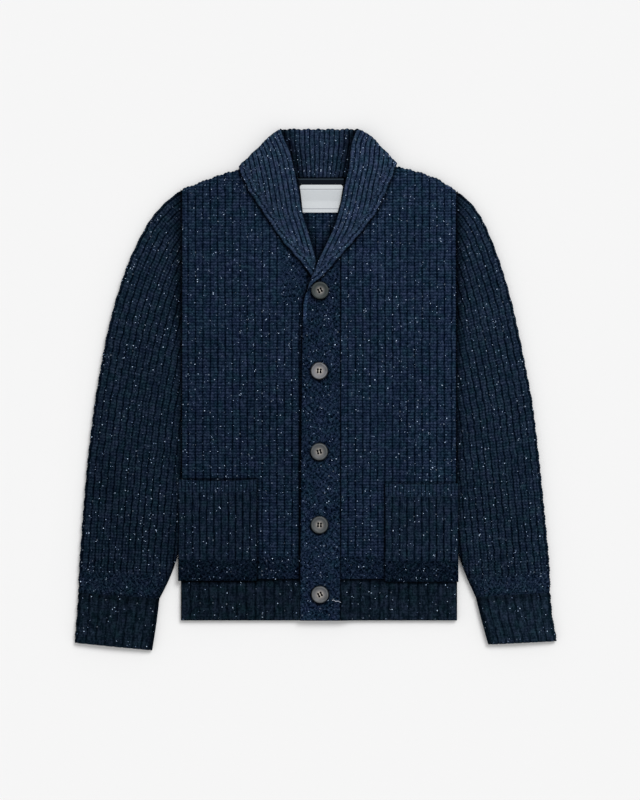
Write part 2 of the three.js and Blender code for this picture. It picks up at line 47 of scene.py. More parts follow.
# Lengths are worked out in millimetres, as in the part, and turned into metres when a mesh is made.
mm = 0.001
wall = 3.0
ribRise = 1.2
gap = 0.3
layer = wall + gap
frontZ = layer
onFrontZ = frontZ + wall + ribRise + gap
body = {"left": -200.5, "right": 210.0, "hemLeft": -202.0, "hemRight": 211.5, "hemTop": -284.3,
        "hemBottom": -345.8, "hemHeight": 61.5, "mossTop": -249.8, "neckSeam": 315.8, "liftFrom": 282.0,
        "liftFull": 298.0, "climb": 20.0, "seam": 36.8, "bandRight": 36.5, "bandTuck": 3.0}
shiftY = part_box("back")[0][1] / mm - (body["hemTop"] + gap)


# Node trees: a value that turns Python sums into Math nodes, and one maker for every other node.
class Value:
    def __init__(self, maker, socket):
        self.maker = maker
        self.socket = socket

    def __add__(self, other):
        return self.maker.math("ADD", self, other)

    def __radd__(self, other):
        return self.maker.math("ADD", other, self)

    def __sub__(self, other):
        return self.maker.math("SUBTRACT", self, other)

    def __rsub__(self, other):
        return self.maker.math("SUBTRACT", other, self)

    def __mul__(self, other):
        return self.maker.math("MULTIPLY", self, other)

    def __rmul__(self, other):
        return self.maker.math("MULTIPLY", other, self)

    def __truediv__(self, other):
        return self.maker.math("DIVIDE", self, other)


class NodeMaker:
    def __init__(self, tree):
        self.tree = tree

    def node(self, kind, sockets=None, **settings):
        made = self.tree.nodes.new(kind)
        for key, value in settings.items():
            setattr(made, key, value)
        for key, value in (sockets or {}).items():
            self.feed(made.inputs[key], value)
        return made

    def feed(self, target, value):
        source = value.socket if isinstance(value, Value) else value
        if isinstance(source, bpy.types.NodeSocket):
            self.tree.links.new(source, target)
        else:
            target.default_value = source

    def value(self, socket):
        return Value(self, socket)

    def math(self, operation, *terms):
        made = self.node("ShaderNodeMath", dict(enumerate(terms)), operation=operation)
        return Value(self, made.outputs[0])

    def smooth(self, term, low, high):
        made = self.node("ShaderNodeMapRange", {"Value": term, "From Min": low, "From Max": high},
                         interpolation_type="SMOOTHSTEP")
        return Value(self, made.outputs[0])

    def blend(self, factor, first, second, kind="MIX"):
        made = self.node("ShaderNodeMix", {0: factor, 6: first, 7: second}, data_type="RGBA", blend_type=kind)
        return made.outputs[2]

    def shaded(self, colour, amount):
        grey = self.node("ShaderNodeCombineColor", {0: amount, 1: amount, 2: amount})
        return self.blend(1.0, colour, grey.outputs[0], "MULTIPLY")

    def colourRamp(self, factor, stops):
        made = self.node("ShaderNodeValToRGB", {"Fac": factor})
        elements = made.color_ramp.elements
        for index, (place, colour) in enumerate(stops):
            stop = elements[index] if index < 2 else elements.new(place)
            stop.position = place
            stop.color = colour
        return made.outputs["Color"]

    def attribute(self, name):
        return Value(self, self.node("ShaderNodeAttribute", attribute_name=name).outputs["Fac"])

    def place(self):
        return self.node("ShaderNodeTexCoord").outputs["Object"]

    def placeParts(self):
        made = self.node("ShaderNodeSeparateXYZ", {0: self.place()})
        return [Value(self, output) for output in made.outputs]

    def noise(self, place, scale, detail=2.0, rough=0.5, twist=0.0, **settings):
        made = self.node("ShaderNodeTexNoise", {
            "Vector": place, "Scale": scale, "Detail": detail, "Roughness": rough, "Distortion": twist},
            **settings)
        return Value(self, made.outputs["Fac"])

    def wave(self, term, length):
        return self.math("SINE", term * (2 * math.pi / length)) * 0.5 + 0.5

    def bump(self, shader, strength, distance, height):
        made = self.node("ShaderNodeBump", {"Strength": strength, "Distance": distance, "Height": height})
        self.feed(shader.inputs["Normal"], made.outputs[0])


# The knit at a place in the cloth: ribs across it, courses down it, and moss stitch where that is on.
moss = {"acrossRib": 1.35, "downCourse": 0.5}


def knitPattern(maker, across, down, wales, jitter, mossJitter):
    part = maker.math("FRACT", across)
    crest = maker.smooth(part, 0.0, 0.2) * (1 - maker.smooth(part, 0.8, 1.0))
    wale = (part - 0.03) * wales / 0.94
    side = maker.math("ABSOLUTE", maker.math("FRACT", wale) - 0.5) * 2
    courses = down + side * 0.22 + jitter
    stitch = maker.math("COSINE", courses * (2 * math.pi)) * 0.5 + 0.5
    groove = maker.smooth(side, 0.45, 1.0)
    rim = maker.smooth(maker.math("ABSOLUTE", part - 0.5) * 2, 0.5, 0.9)
    bead = maker.math("SINE", (across * moss["acrossRib"] + mossJitter) * (2 * math.pi))
    bead = bead * maker.math("SINE", (down * moss["downCourse"] + jitter) * (2 * math.pi))
    waleIndex = maker.math("FLOOR", wale) + maker.math("FLOOR", across) * wales
    return {"crest": crest, "stitch": stitch, "groove": groove, "rim": rim, "bead": bead * 0.5 + 0.5,
            "wale": waleIndex, "course": maker.math("FLOOR", courses + 0.5)}


def plainMaterial(name, colour, roughness, specular):
    material = bpy.data.materials.new(name)
    material.use_nodes = True
    shader = material.node_tree.nodes["Principled BSDF"]
    shader.inputs["Base Color"].default_value = colour
    shader.inputs["Roughness"].default_value = roughness
    shader.inputs["Specular IOR Level"].default_value = specular
    return material, NodeMaker(material.node_tree), shader


# Yarn: dark blue marl whose strands vary, with pale specks spun in. Colours are linear. The knit's relief is
# painted into the colour as light and shade: deep is the painted shade in gutters and between stitches, high
# the painted light on crests together with the pale strands. Rows is how plainly its courses show in painted
# light and shade, gutters how dark the painted shade between ribs is, split how dark the painted shade
# between the wales of one rib is, and streaks how much a rib varies along its length.
yarns = {
    "bodyYarn": {
        "deep": (0.0003, 0.0020, 0.0060, 1), "main": (0.0058, 0.0135, 0.0310, 1),
        "high": (0.0276, 0.0468, 0.0842, 1), "rows": 0.74, "gutters": 0.66, "split": 0.44, "streaks": 0.5},
    "sleeveYarn": {
        "deep": (0.0004, 0.0022, 0.0056, 1), "main": (0.0055, 0.0128, 0.0272, 1),
        "high": (0.0262, 0.0440, 0.0722, 1), "rows": 0.6, "gutters": 0.8, "split": 0.75, "streaks": 0.6},
    "pocketYarn": {
        "deep": (0.0003, 0.0016, 0.0042, 1), "main": (0.0034, 0.0083, 0.0182, 1),
        "high": (0.0164, 0.0285, 0.0495, 1), "rows": 0.48, "gutters": 0.72, "split": 0.0, "streaks": 1.2},
    "hemYarn": {
        "deep": (0.0002, 0.0012, 0.0028, 1), "main": (0.0021, 0.0054, 0.0101, 1),
        "high": (0.0105, 0.0190, 0.0318, 1), "rows": 0.3, "gutters": 0.42, "split": 0.0, "streaks": 1.4},
    "collarYarn": {
        "deep": (0.0008, 0.0032, 0.0090, 1), "main": (0.0080, 0.0178, 0.0395, 1),
        "high": (0.0385, 0.0625, 0.1110, 1), "rows": 0.3, "gutters": 0.84, "split": 0.6, "streaks": 1.3},
}


def yarnMaterial(name):
    look = yarns[name]
    material, maker, shader = plainMaterial(name, look["main"], 0.92, 0.0)
    place = maker.place()
    mossAmount = maker.attribute("moss")
    across = maker.attribute("across") + (maker.noise(place, 330.0) - 0.5) * 0.16
    down = maker.attribute("down")
    jitter = (maker.noise(place, 150.0) - 0.5) * (mossAmount * 1.5 + 0.45)
    mossJitter = (maker.noise(place, 200.0, 1.0) - 0.5) * 1.9
    knit = knitPattern(maker, across, down, maker.attribute("wales"), jitter, mossJitter)
    strand = maker.noise(place, 620.0, 3.0, 0.65)
    heather = maker.noise(place, 260.0)
    cell = maker.node("ShaderNodeCombineXYZ", {0: knit["wale"], 1: knit["course"]}).outputs[0]
    loop = maker.node("ShaderNodeTexWhiteNoise", {"Vector": cell}, noise_dimensions="2D")
    loop = maker.value(loop.outputs[0])
    lane = maker.node("ShaderNodeCombineXYZ", {0: across * 4.2, 1: down * 0.35}).outputs[0]
    streak = maker.noise(lane, 1.0, noise_dimensions="2D")
    loose = maker.smooth(maker.noise(place, 26.0), 0.36, 0.64)
    # Painted shade in the gutters and between the wales of a rib, painted light on the stitch crests.
    gutters = (1.16 - loose * 0.32) * look["gutters"]
    split = (loose + 0.5) * look["split"]
    groove = knit["groove"] * (knit["rim"] * (gutters - split) + split)
    loops = (knit["stitch"] * look["rows"] + (1 - look["rows"])) * (1 - groove * 0.7)
    ribTone = (knit["crest"] * gutters + (1 - gutters)) * (loops * 0.85 + 0.15)
    tone = ribTone * (1 - mossAmount) + knit["bead"] * mossAmount
    vary = (strand - 0.5) * 2.0 + (heather - 0.5) * 1.3 + (loop - 0.5) * look["rows"] * 0.5 * (1 - mossAmount)
    vary = vary + (streak - 0.5) * look["streaks"] * (1 - mossAmount)
    dark = maker.smooth(tone + vary * 0.55, 0.0, 0.55)
    light = maker.smooth(tone * 0.8 + vary, 0.35, 1.15)
    marl = maker.blend(light, look["main"], look["high"])
    marl = maker.blend(dark, look["deep"], marl)
    tint = maker.colourRamp(maker.noise(place, 75.0, 1.0), [
        (0.3, (0.80, 1.03, 0.92, 1)), (0.5, (1, 1, 1, 1)), (0.72, (1.16, 1.0, 1.10, 1))])
    marl = maker.blend(1.0, marl, tint, "MULTIPLY")
    # Painted shade: the shade attribute carries each piece's painted shadows and painted light, and broad
    # noise patches are painted shade for the cloth's unevenness.
    marl = maker.shaded(marl, (maker.noise(place, 16.0) * 0.5 + 0.75) * maker.attribute("shade"))
    cells = maker.node("ShaderNodeTexVoronoi", {"Vector": place, "Scale": 150.0, "Randomness": 1.0})
    chance = maker.node("ShaderNodeSeparateColor", {0: cells.outputs["Color"]})
    rare = maker.math("GREATER_THAN", chance.outputs[0], 0.9)
    near = maker.math("LESS_THAN", cells.outputs["Distance"], 0.16)
    speck = rare * near * maker.smooth(strand, 0.35, 0.6) * 0.5
    colour = maker.blend(speck, marl, (0.26, 0.32, 0.40, 1))
    sheen = {"Sheen Weight": 0.01, "Sheen Roughness": 0.5, "Sheen Tint": (0.55, 0.68, 0.95, 1)}
    for key, value in {"Base Color": colour, **sheen}.items():
        maker.feed(shader.inputs[key], value)
    fibre = strand * 0.5 + maker.noise(place, 2600.0) * 0.25 + tone * 0.8
    maker.bump(shader, 0.6, 0.0012, fibre)
    return material


def fleckMaterial():
    material, maker, shader = plainMaterial("fleck", (0.3, 0.3, 0.3, 1), 0.9, 0.2)
    colour = maker.colourRamp(maker.noise(maker.place(), 190.0), [
        (0.38, (0.05, 0.09, 0.17, 1)), (0.50, (0.21, 0.30, 0.46, 1)), (0.62, (0.62, 0.78, 1.0, 1))])
    maker.feed(shader.inputs["Base Color"], colour)
    return material


materials = {name: yarnMaterial(name) for name in yarns}
materials["fleck"] = fleckMaterial()
print("yarn ready")


# Geometry Nodes: the knit's relief, worked out at each point from its place in the cloth.
def readAttribute(maker, name):
    made = maker.node("GeometryNodeInputNamedAttribute", {"Name": name}, data_type="FLOAT")
    return maker.value(made.outputs["Attribute"])


def newTree(name, inputs):
    tree = bpy.data.node_groups.new(name, "GeometryNodeTree")
    tree.interface.new_socket("Geometry", in_out="OUTPUT", socket_type="NodeSocketGeometry")
    tree.interface.new_socket("Geometry", in_out="INPUT", socket_type="NodeSocketGeometry")
    for label, kind in inputs:
        tree.interface.new_socket(label, in_out="INPUT", socket_type="NodeSocket" + kind)
    return tree, NodeMaker(tree)


def endTree(maker, geometry, material):
    whole = maker.node("GeometryNodeRealizeInstances", {"Geometry": geometry})
    dressed = maker.node("GeometryNodeSetMaterial", {"Geometry": whole.outputs[0], "Material": material})
    maker.node("NodeGroupOutput", {0: dressed.outputs[0]})


def knitTree():
    tree, maker = newTree("knit relief", [
        ("Waver", "Float"), ("Rib depth", "Float"), ("Stitch depth", "Float"), ("Moss depth", "Float"),
        ("Material", "Material")])
    given = maker.node("NodeGroupInput").outputs
    ribDepth = maker.value(given["Rib depth"])
    stitchDepth = maker.value(given["Stitch depth"])
    mossAmount = readAttribute(maker, "moss")
    wobble = maker.value(maker.node("ShaderNodeTexNoise", {"Scale": 42.0, "Detail": 1.0}).outputs[0])
    across = readAttribute(maker, "across") + (wobble - 0.5) * maker.value(given["Waver"])
    knit = knitPattern(maker, across, readAttribute(maker, "down"), readAttribute(maker, "wales"), 0.0, 0.0)
    ribbed = knit["crest"] * ribDepth - knit["groove"] * knit["crest"] * stitchDepth * 0.35
    ribbed = ribbed + (knit["stitch"] - 0.5) * (knit["crest"] * 0.8 + 0.2) * stitchDepth
    beaded = knit["bead"] * maker.value(given["Moss depth"])
    height = (ribbed * (1 - mossAmount) + beaded * mossAmount) * readAttribute(maker, "soft")
    normal = maker.node("GeometryNodeInputNormal").outputs[0]
    offset = maker.node("ShaderNodeVectorMath", {0: normal, "Scale": height * mm}, operation="SCALE")
    moved = maker.node("GeometryNodeSetPosition", {
        "Geometry": given["Geometry"], "Offset": offset.outputs[0]})
    stored = maker.node("GeometryNodeStoreNamedAttribute", {
        "Geometry": moved.outputs[0], "Name": "across", "Value": across}, data_type="FLOAT", domain="POINT")
    endTree(maker, stored.outputs[0], given["Material"])
    return tree


# Flecks: short pale neps of fibre caught in the yarn, scattered over the sides that show.
def fleckTree():
    tree, maker = newTree("flecks", [("Density", "Float"), ("Seed", "Int"), ("Size", "Float"),
                                     ("Material", "Material")])
    given = maker.node("NodeGroupInput").outputs
    facing = maker.node("ShaderNodeSeparateXYZ", {0: maker.node("GeometryNodeInputNormal").outputs[0]})
    shows = maker.math("GREATER_THAN", readAttribute(maker, "soft"), 0.3)
    shows = shows * maker.math("GREATER_THAN", maker.value(facing.outputs[2]), 0.75)
    points = maker.node("GeometryNodeDistributePointsOnFaces", {
        "Mesh": given["Geometry"], "Selection": shows, "Density": given["Density"], "Seed": given["Seed"]})
    nep = maker.node("GeometryNodeMeshIcoSphere", {"Radius": 0.001, "Subdivisions": 1})
    stretch = maker.node("FunctionNodeRandomValue", {
        0: (0.22, 0.2, 0.25), 1: (1.2, 0.85, 0.5), "Seed": given["Seed"]}, data_type="FLOAT_VECTOR")
    spin = maker.node("FunctionNodeRandomValue", {
        0: (-0.3, -0.3, 0.0), 1: (0.3, 0.3, 6.28), "Seed": given["Seed"]}, data_type="FLOAT_VECTOR")
    sized = maker.node("ShaderNodeVectorMath", {0: stretch.outputs[0], "Scale": given["Size"]},
                       operation="SCALE")
    placed = maker.node("GeometryNodeInstanceOnPoints", {
        "Points": points.outputs["Points"], "Instance": nep.outputs["Mesh"],
        "Rotation": spin.outputs[0], "Scale": sized.outputs[0]})
    endTree(maker, placed.outputs[0], given["Material"])
    return tree


knitRelief = knitTree()
flecks = fleckTree()


def linked(name, mesh):
    made = bpy.data.objects.new(name, mesh)
    bpy.context.scene.collection.objects.link(made)
    return made


def meshOf(name, shape):
    bmesh.ops.recalc_face_normals(shape, faces=shape.faces)
    mesh = bpy.data.meshes.new(name)
    shape.to_mesh(mesh)
    shape.free()
    return mesh


def smoothFaces(made):
    made.data.polygons.foreach_set("use_smooth", [True] * len(made.data.polygons))


def grown(source, tree, values, name):
    modifier = source.modifiers.new("grow", "NODES")
    modifier.node_group = tree
    inputs = [item for item in tree.interface.items_tree if item.in_out == "INPUT"]
    sockets = {item.name: item.identifier for item in inputs}
    for label, value in values.items():
        modifier[sockets[label]] = value
    bpy.context.view_layer.update()
    graph = bpy.context.evaluated_depsgraph_get()
    mesh = bpy.data.meshes.new_from_object(source.evaluated_get(graph), preserve_all_data_layers=True,
                                           depsgraph=graph)
    source.modifiers.remove(modifier)
    mesh.name = name
    return linked(name, mesh)


# How deep each kind of knit is, in millimetres. Waver is in ribs.
knits = {
    "body": {"Waver": 0.22, "Rib depth": 0.9, "Stitch depth": 0.8, "Moss depth": 0.9},
    "collar": {"Waver": 0.16, "Rib depth": 1.1, "Stitch depth": 0.5, "Moss depth": 0.9},
    "hem": {"Waver": 0.22, "Rib depth": 0.9, "Stitch depth": 0.3, "Moss depth": 0.9},
    "plain": {"Waver": 0.0, "Rib depth": 0.0, "Stitch depth": 0.0, "Moss depth": 0.0},
}


def along(table, places, column=1, key=0):
    rows = sorted(table, key=lambda row: row[key])
    return np.interp(places, [row[key] for row in rows], [row[column] for row in rows])


def ramp(value, low, high):
    t = np.clip((value - low) / (high - low), 0.0, 1.0)
    return t * t * (3 - 2 * t)


def neckLift(y):
    return layer * np.clip((y - body["liftFrom"]) / (body["liftFull"] - body["liftFrom"]), 0.0, 1.0)


# The gentle unevenness of cloth laid down by hand, never below its own level.
def wavy(x, y, size):
    return size * (0.5 + 0.25 * np.sin(x / 31 + 0.8 * np.sin(y / 57)) + 0.25 * np.sin(y / 71 + x / 130 + 1.3))


def roundedSpread(total, step, radius):
    close = radius * (1 - np.cos(np.radians([0, 25, 50, 75])))
    middle = np.linspace(radius, total - radius, int(total / step))
    places = np.concatenate([close, middle, total - close[::-1]])
    fromEnd = np.clip(np.minimum(places, total - places) / radius, 0, 1)
    return places, np.maximum(np.sqrt(1 - (1 - fromEnd) ** 2), 0.02)


# A closed shell of cloth made of rings. Each ring runs from a start to an end, dense on top and sparse
# below, with round edges. surface() gives the heights and the place in the knit. A hollow one is a tube that
# is open at both ends.
def clothShell(name, starts, ends, surface, columns, radius, ease, knee=None, breaks=(), hollow=False):
    starts, ends = (np.stack(np.broadcast_arrays(*pair), 1).astype(float) for pair in (starts, ends))
    count = len(starts)
    width = np.hypot(*(ends - starts).T)[:, None]
    radius = np.minimum(radius, width / 2.01)
    edge = radius * (1 - np.cos(np.radians([0, 22, 45, 68])))[None, :]
    spread = np.linspace(0, 1, columns)[None, :]
    if knee is None:
        inner = radius + spread * np.maximum(width - 2 * radius, 0)
    else:
        share, distance = knee
        rest = width - radius - distance
        inner = np.where(spread < share, radius + spread / share * (distance - radius),
                         distance + (spread - share) / (1 - share) * rest)
    top = np.concatenate([edge, inner, width - edge[:, ::-1]], 1)
    lowSpread = np.linspace(0, 1, 10)[None, :] * np.maximum(width - 2 * radius, 0) + radius
    farthest = np.maximum(width - radius, radius)
    stops = [np.clip(np.full((count, 1), stop), radius, farthest) for stop in breaks]
    lowInner = np.sort(np.concatenate([lowSpread, *stops], 1), 1)[:, ::-1]
    low = np.concatenate([width - edge[:, 1:], lowInner, edge[:, :0:-1]], 1)
    distance = np.concatenate([top, low], 1)
    isTop = np.zeros(distance.shape, bool)
    isTop[:, :top.shape[1]] = True
    row = np.arange(count)[:, None] + 0 * distance
    bulge = np.sqrt(1 - (1 - np.clip(np.minimum(distance, width - distance) / radius, 0, 1)) ** 2)

    def ringPoints(distance, bulge, inset):
        x = starts[:, :1] + (ends - starts)[:, :1] / width * distance
        y = starts[:, 1:] + (ends - starts)[:, 1:] / width * distance
        place = {"x": x, "down": y / pitches["course"], "moss": 0.0, "wales": 2.0, "shade": 1.0, "soft": 1.0,
                 **surface(x, y, distance, width + 0 * distance, row)}
        middle = (place["top"] + place["low"]) / 2
        half = np.maximum((place["top"] - place["low"]) / 2 - inset, 0.05) * bulge * ease[:, None]
        z = np.where(isTop, middle + half, middle - half)
        return np.stack([place["x"], y + shiftY, z], 2), place

    points, place = ringPoints(distance, bulge, 0.0)
    place["soft"] = np.where(isTop, np.minimum(bulge, ease[:, None]) ** 2, 0.0) * place["soft"]
    ring = distance.shape[1]
    attributes = {key: np.zeros(distance.shape) + place[key]
                  for key in ("across", "down", "moss", "wales", "shade", "soft")}

    def quads(firstRow, secondRow):
        a = firstRow * ring + np.arange(ring)
        b = firstRow * ring + (np.arange(ring) + 1) % ring
        return np.stack([a, b, b + (secondRow - firstRow) * ring, a + (secondRow - firstRow) * ring], 1)

    rows = list(range(count))
    if hollow:
        squeeze = wall + distance * (width - 2 * wall) / width
        inside, _ = ringPoints(squeeze, bulge, wall)
        picked = sorted({*range(0, count, 24), count - 1})[::-1]
        points = np.concatenate([points, inside[picked]])
        attributes = {key: np.concatenate([value, value[picked]]) for key, value in attributes.items()}
        attributes["soft"][count:] = 0
        rows = [*range(len(points)), 0]
    faces = np.concatenate([quads(a, b) for a, b in zip(rows, rows[1:])]).tolist()
    if not hollow:
        faces.append(list(range(ring))[::-1])
        faces.append([(count - 1) * ring + i for i in range(ring)])
    mesh = bpy.data.meshes.new(name + " base")
    mesh.from_pydata((points.reshape(-1, 3) * mm).tolist(), [], faces)
    for key, values in attributes.items():
        mesh.attributes.new(key, "FLOAT", "POINT").data.foreach_set("value", values.ravel())
    turned = bmesh.new()
    turned.from_mesh(mesh)
    bmesh.ops.recalc_face_normals(turned, faces=turned.faces)
    turned.to_mesh(mesh)
    turned.free()
    return linked(name + " base", mesh)


def joined(bases):
    with bpy.context.temp_override(active_object=bases[0], selected_editable_objects=bases):
        bpy.ops.object.join()
    return bases[0]


# A thin rod of thread or fibre along a path that runs along one axis.
def addRod(shape, path, radius, axis):
    rings = []
    for x, y, z in path:
        ring = []
        for i in range(8):
            side = radius * math.cos(2 * math.pi * i / 8)
            up = radius * math.sin(2 * math.pi * i / 8)
            spot = (x, y + side, z + up) if axis == "x" else (x + side, y, z + up)
            ring.append(shape.verts.new(spot))
        rings.append(ring)
    for low, high in zip(rings, rings[1:]):
        for i in range(8):
            shape.faces.new([low[i], low[(i + 1) % 8], high[(i + 1) % 8], high[i]])
    shape.faces.new(rings[0][::-1])
    shape.faces.new(rings[-1])


fibreLook = {"height": 12.6, "radius": 0.4,
             "path": [(24.2, -315.2), (25.9, -314.6), (27.6, -314.9), (29.4, -316.6), (31.6, -316.2),
                      (33.9, -316.2), (37.2, -318.5)]}


def strayFibre():
    look = fibreLook
    shape = bmesh.new()
    path = [(x * mm, (y + shiftY) * mm, look["height"] * mm) for x, y in look["path"]]
    addRod(shape, path, look["radius"] * mm, "x")
    mesh = meshOf("strayFibre", shape)
    mesh.materials.append(plainMaterial("fibre", (0.46, 0.50, 0.60, 1), 0.9, 0.1)[0])
    fibre = linked("strayFibre", mesh)
    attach(fibre, "root")
    return fibre


# One cloth piece: relief grown on its shells, and flecks on that.
def knitPiece(name, bases, knit, yarn, nodes, flat,
              density=6000.0, seed=1, extras=()):
    base = joined(bases) if len(bases) > 1 else bases[0]
    piece = grown(base, knitRelief, {**knits[knit], "Material": materials[yarn]}, name)
    smoothFaces(piece)
    extras = list(extras)
    if density:
        nep = grown(piece, flecks, {"Density": density, "Seed": seed, "Size": 1.0,
                                    "Material": materials["fleck"]}, name + "Flecks")
        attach(nep, "root")
        extras.append(nep)
    bpy.data.objects.remove(base)
    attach(piece, "root")
    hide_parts(*nodes)
    flat[0] * mm
    flat[1] * mm
    print("made", name, len(piece.data.polygons), "faces")
    return piece


# Edges that more than one piece shares, as (x, y) in the part's own measures.
bandEdge = [(-9.6, 152.3), (-16.4, 141.0), (-18.9, 128.0), (-19.8, 104.3), (-20.9, 59.3), (-23.9, -345.8)]
shoulderLeft = [(-200.5, 299.2), (-161.9, 314.3), (-137.9, 323), (-118.4, 328.6), (-81, 329), (-47.9, 326.3)]
shoulderRight = [(66.5, 327.8), (90, 331.5), (123.2, 333.6), (162.2, 323), (184.7, 314.3), (210, 296.3)]
frontPieces = {
    "left": {"from": -200.5, "to": -6.9, "knee": 150.0, "step": 1.5, "ribsFrom": -202.5,
             "tops": [*shoulderLeft, (-44.9, 311.3), (-41, 286.3), (-34.5, 252), (-24.5, 217), (-17.8, 200),
                      (-16, 191), (-8, 178), (-6.9, 160)]},
    "right": {"from": 36.8, "to": 210.0, "knee": 220.0, "step": 1.5, "ribsFrom": 36.8,
              "tops": [(36.8, 228), (44.2, 242.3), (53.9, 275.3), (59.7, 306.8), (61.3, 313),
                       *shoulderRight]},
}
pitches = {"body": 11.1, "sleeve": 9.8, "hem": 14.4, "pocket": 10.5, "collar": 7.2, "course": 4.5}


# Painted shade that what lies on a cloth or beside it casts: a dip at no distance that fades over a reach.
def dip(distance, depth, reach):
    return 1 - depth * np.exp(-(np.maximum(distance, 0) / reach) ** 2)


# Painted shadow around each pocket on the cloth under and beside it.
def pocketShadows(x, y):
    shade = 1.0
    for look in pockets.values():
        outX = np.maximum(np.maximum(look["from"] - x, x - look["to"]), 0)
        outY = np.maximum(np.maximum(look["bottom"] - y, y - look["top"]), 0)
        shade = shade * dip(np.hypot(outX, outY), look["shadow"], 3.0)
    return shade


# Painted shadow on the cloth along each lapel's outer edge.
def lapelShadows(x, y):
    left = (along(lapels["left"]["outer"], y) - x) * 0.83
    right = (x - along(lapels["right"]["outer"], y)) * 0.83
    onLeft = np.where((y > 168) & (y < 332) & (x < 0), dip(left, 0.72, 3.2), 1.0)
    onRight = np.where((y > 147) & (y < 338) & (x > -14), dip(right, 0.72, 3.2), 1.0)
    return onLeft * onRight


# How far a place in the neck is from the nearer of the two rolled edges.
def insideRolls(x, y):
    return np.minimum(x - along(lapels["left"]["roll"], y), along(lapels["right"]["roll"], y) - x)


# Painted light: cloth is painted a little lighter towards the right and, on the fronts and sleeves, towards
# the collar, as the studio light falls.
def paintedLightRight(x):
    return 1 + x / 1700


def paintedLightTop(y, lowest):
    return 1 + np.clip(y - 71, lowest, 200) / 1500


# The small waves that ribs and courses make along an edge.
def scallop(places, pitch, size):
    uneven = 0.5 * np.sin(places / 3.1 + np.sin(places / 11))
    return size * (np.abs(np.sin(np.pi * places / pitch)) - 0.6 + uneven)


# Values along a curve, with their corners rounded off over a reach and their ends kept.
def smoothed(values, sigma):
    values = np.asarray(values, float)
    pad = min(len(values) - 1, int(3 * sigma))
    if pad < 2:
        return values
    before = 2 * values[0] - values[pad:0:-1]
    after = 2 * values[-1] - values[-2:-pad - 2:-1]
    kernel = np.exp(-0.5 * (np.arange(-pad, pad + 1) / sigma) ** 2)
    return np.convolve(np.concatenate([before, values, after]), kernel / kernel.sum(), "valid")


def climb(x, side):
    if side == "left":
        return 0 * x
    return (onFrontZ - frontZ) * np.clip(1 - (x - body["seam"]) / body["climb"], 0, 1)


# The left front's edge follows the band over it, and the cloth beside that edge goes along.
def bandShift(x, y):
    end = frontPieces["left"]["to"]
    edge = [(160, end), *[(edgeY, edgeX + body["bandTuck"]) for edgeX, edgeY in bandEdge[1:]]]
    shift = end - np.where(y < 160, along(edge, y), end)
    return x - shift * np.clip((x + 40) / 33.1, 0, 1)


def frontPanel(side):
    look = frontPieces[side]
    bottom = body["hemTop"] + gap
    places, ease = roundedSpread(look["to"] - look["from"], look["step"], 1.8)
    xs = look["from"] + places
    tops = along(look["tops"], xs)
    onShoulder = np.abs(xs) > 70
    tops = np.where(onShoulder, smoothed(tops, 5) + scallop(xs, 5.55, 1.5), tops)
    reach = look["knee"] - bottom
    share = 0.8 if side == "left" else 0.84

    def surface(x, y, distance, width, row):
        if side == "left":
            x = bandShift(x, y)
        low = frontZ + neckLift(y) + climb(x, side)
        mossOn = 1 - ramp(y, body["mossTop"] - 1, body["mossTop"] + 1)
        if side == "left":
            mossOn = np.maximum(mossOn, ramp(x, -54, -49) * ramp(y, 126, 138))
        # Painted shadows beside the pockets and lapels, and the painted light towards the right and the
        # collar.
        shade = pocketShadows(x, y) * lapelShadows(x, y) * paintedLightRight(x) * paintedLightTop(y, -170)
        shade = shade * (1 - 0.24 * mossOn * (y < 0))
        if side == "left":
            # Painted shadow on the left front beside the band's edge over it, and painted shade at its side
            # edge.
            bandShadow = dip(along(bandEdge, y, 0, 1) - x, 0.88, 4.6)
            shade = shade * np.where(y < 156, bandShadow, 1.0) * dip(x - body["left"], 0.15, 2.5)
        else:
            # Painted shade beside the band's seam and at the side edge.
            shade = shade * dip(x - body["seam"], 0.35, 1.4) * dip(body["right"] - x, 0.15, 2.5)
        return {"x": x, "low": low, "top": low + wall + wavy(x, y, 0.7),
                "across": (x - look["ribsFrom"]) / pitches["body"], "down": (y - bottom) / pitches["course"],
                "moss": mossOn, "shade": shade}

    return clothShell("front" + side, (xs, bottom), (xs, tops), surface, int(reach / look["step"] / share),
                      1.8, ease, knee=(share, reach))


def backPanel():
    places, ease = roundedSpread(body["right"] - body["left"], 4.0, 1.8)
    xs = body["left"] + places
    neck = [(-43, body["neckSeam"]), (52, body["neckSeam"])]
    tops = along([*shoulderLeft, *neck, *shoulderRight], xs) - 1.6 * (np.abs(xs) > 70)
    bottom = body["hemTop"] + gap

    def surface(x, y, distance, width, row):
        low = neckLift(y)
        # Painted shade inside the neck, darkest beside the rolled edges and towards the neck seam.
        shade = 1.02 * dip(insideRolls(x, y), 0.7, 9) * dip(315 - y, 0.5, 14)
        return {"low": low, "top": low + wall, "across": (x - body["left"]) / pitches["body"], "shade": shade}

    return clothShell("back", (xs, bottom), (xs, tops), surface, 160, 1.5, ease)


def hemPart(name, left, right, base, climbs=None, step=1.5):
    pitch = (right - left) / round((right - left) / pitches["hem"])
    places, ease = roundedSpread(right - left, step, 1.8)

    def surface(x, y, distance, width, row):
        low = base + (climb(x, climbs) if climbs else 0 * x)
        # Painted shadow on the hem below the body's overhanging edge and beside the pockets.
        shade = dip(body["hemTop"] - y, 0.8, 4.2) * pocketShadows(x, y) * paintedLightRight(x)
        return {"low": low, "top": low + wall + wavy(x, y, 0.6), "across": (x - left) / pitch, "shade": shade}

    xs = left + places
    return clothShell(name, (xs, body["hemBottom"]), (xs, body["hemTop"]), surface,
                      int(body["hemHeight"] / step), 1.8, ease)


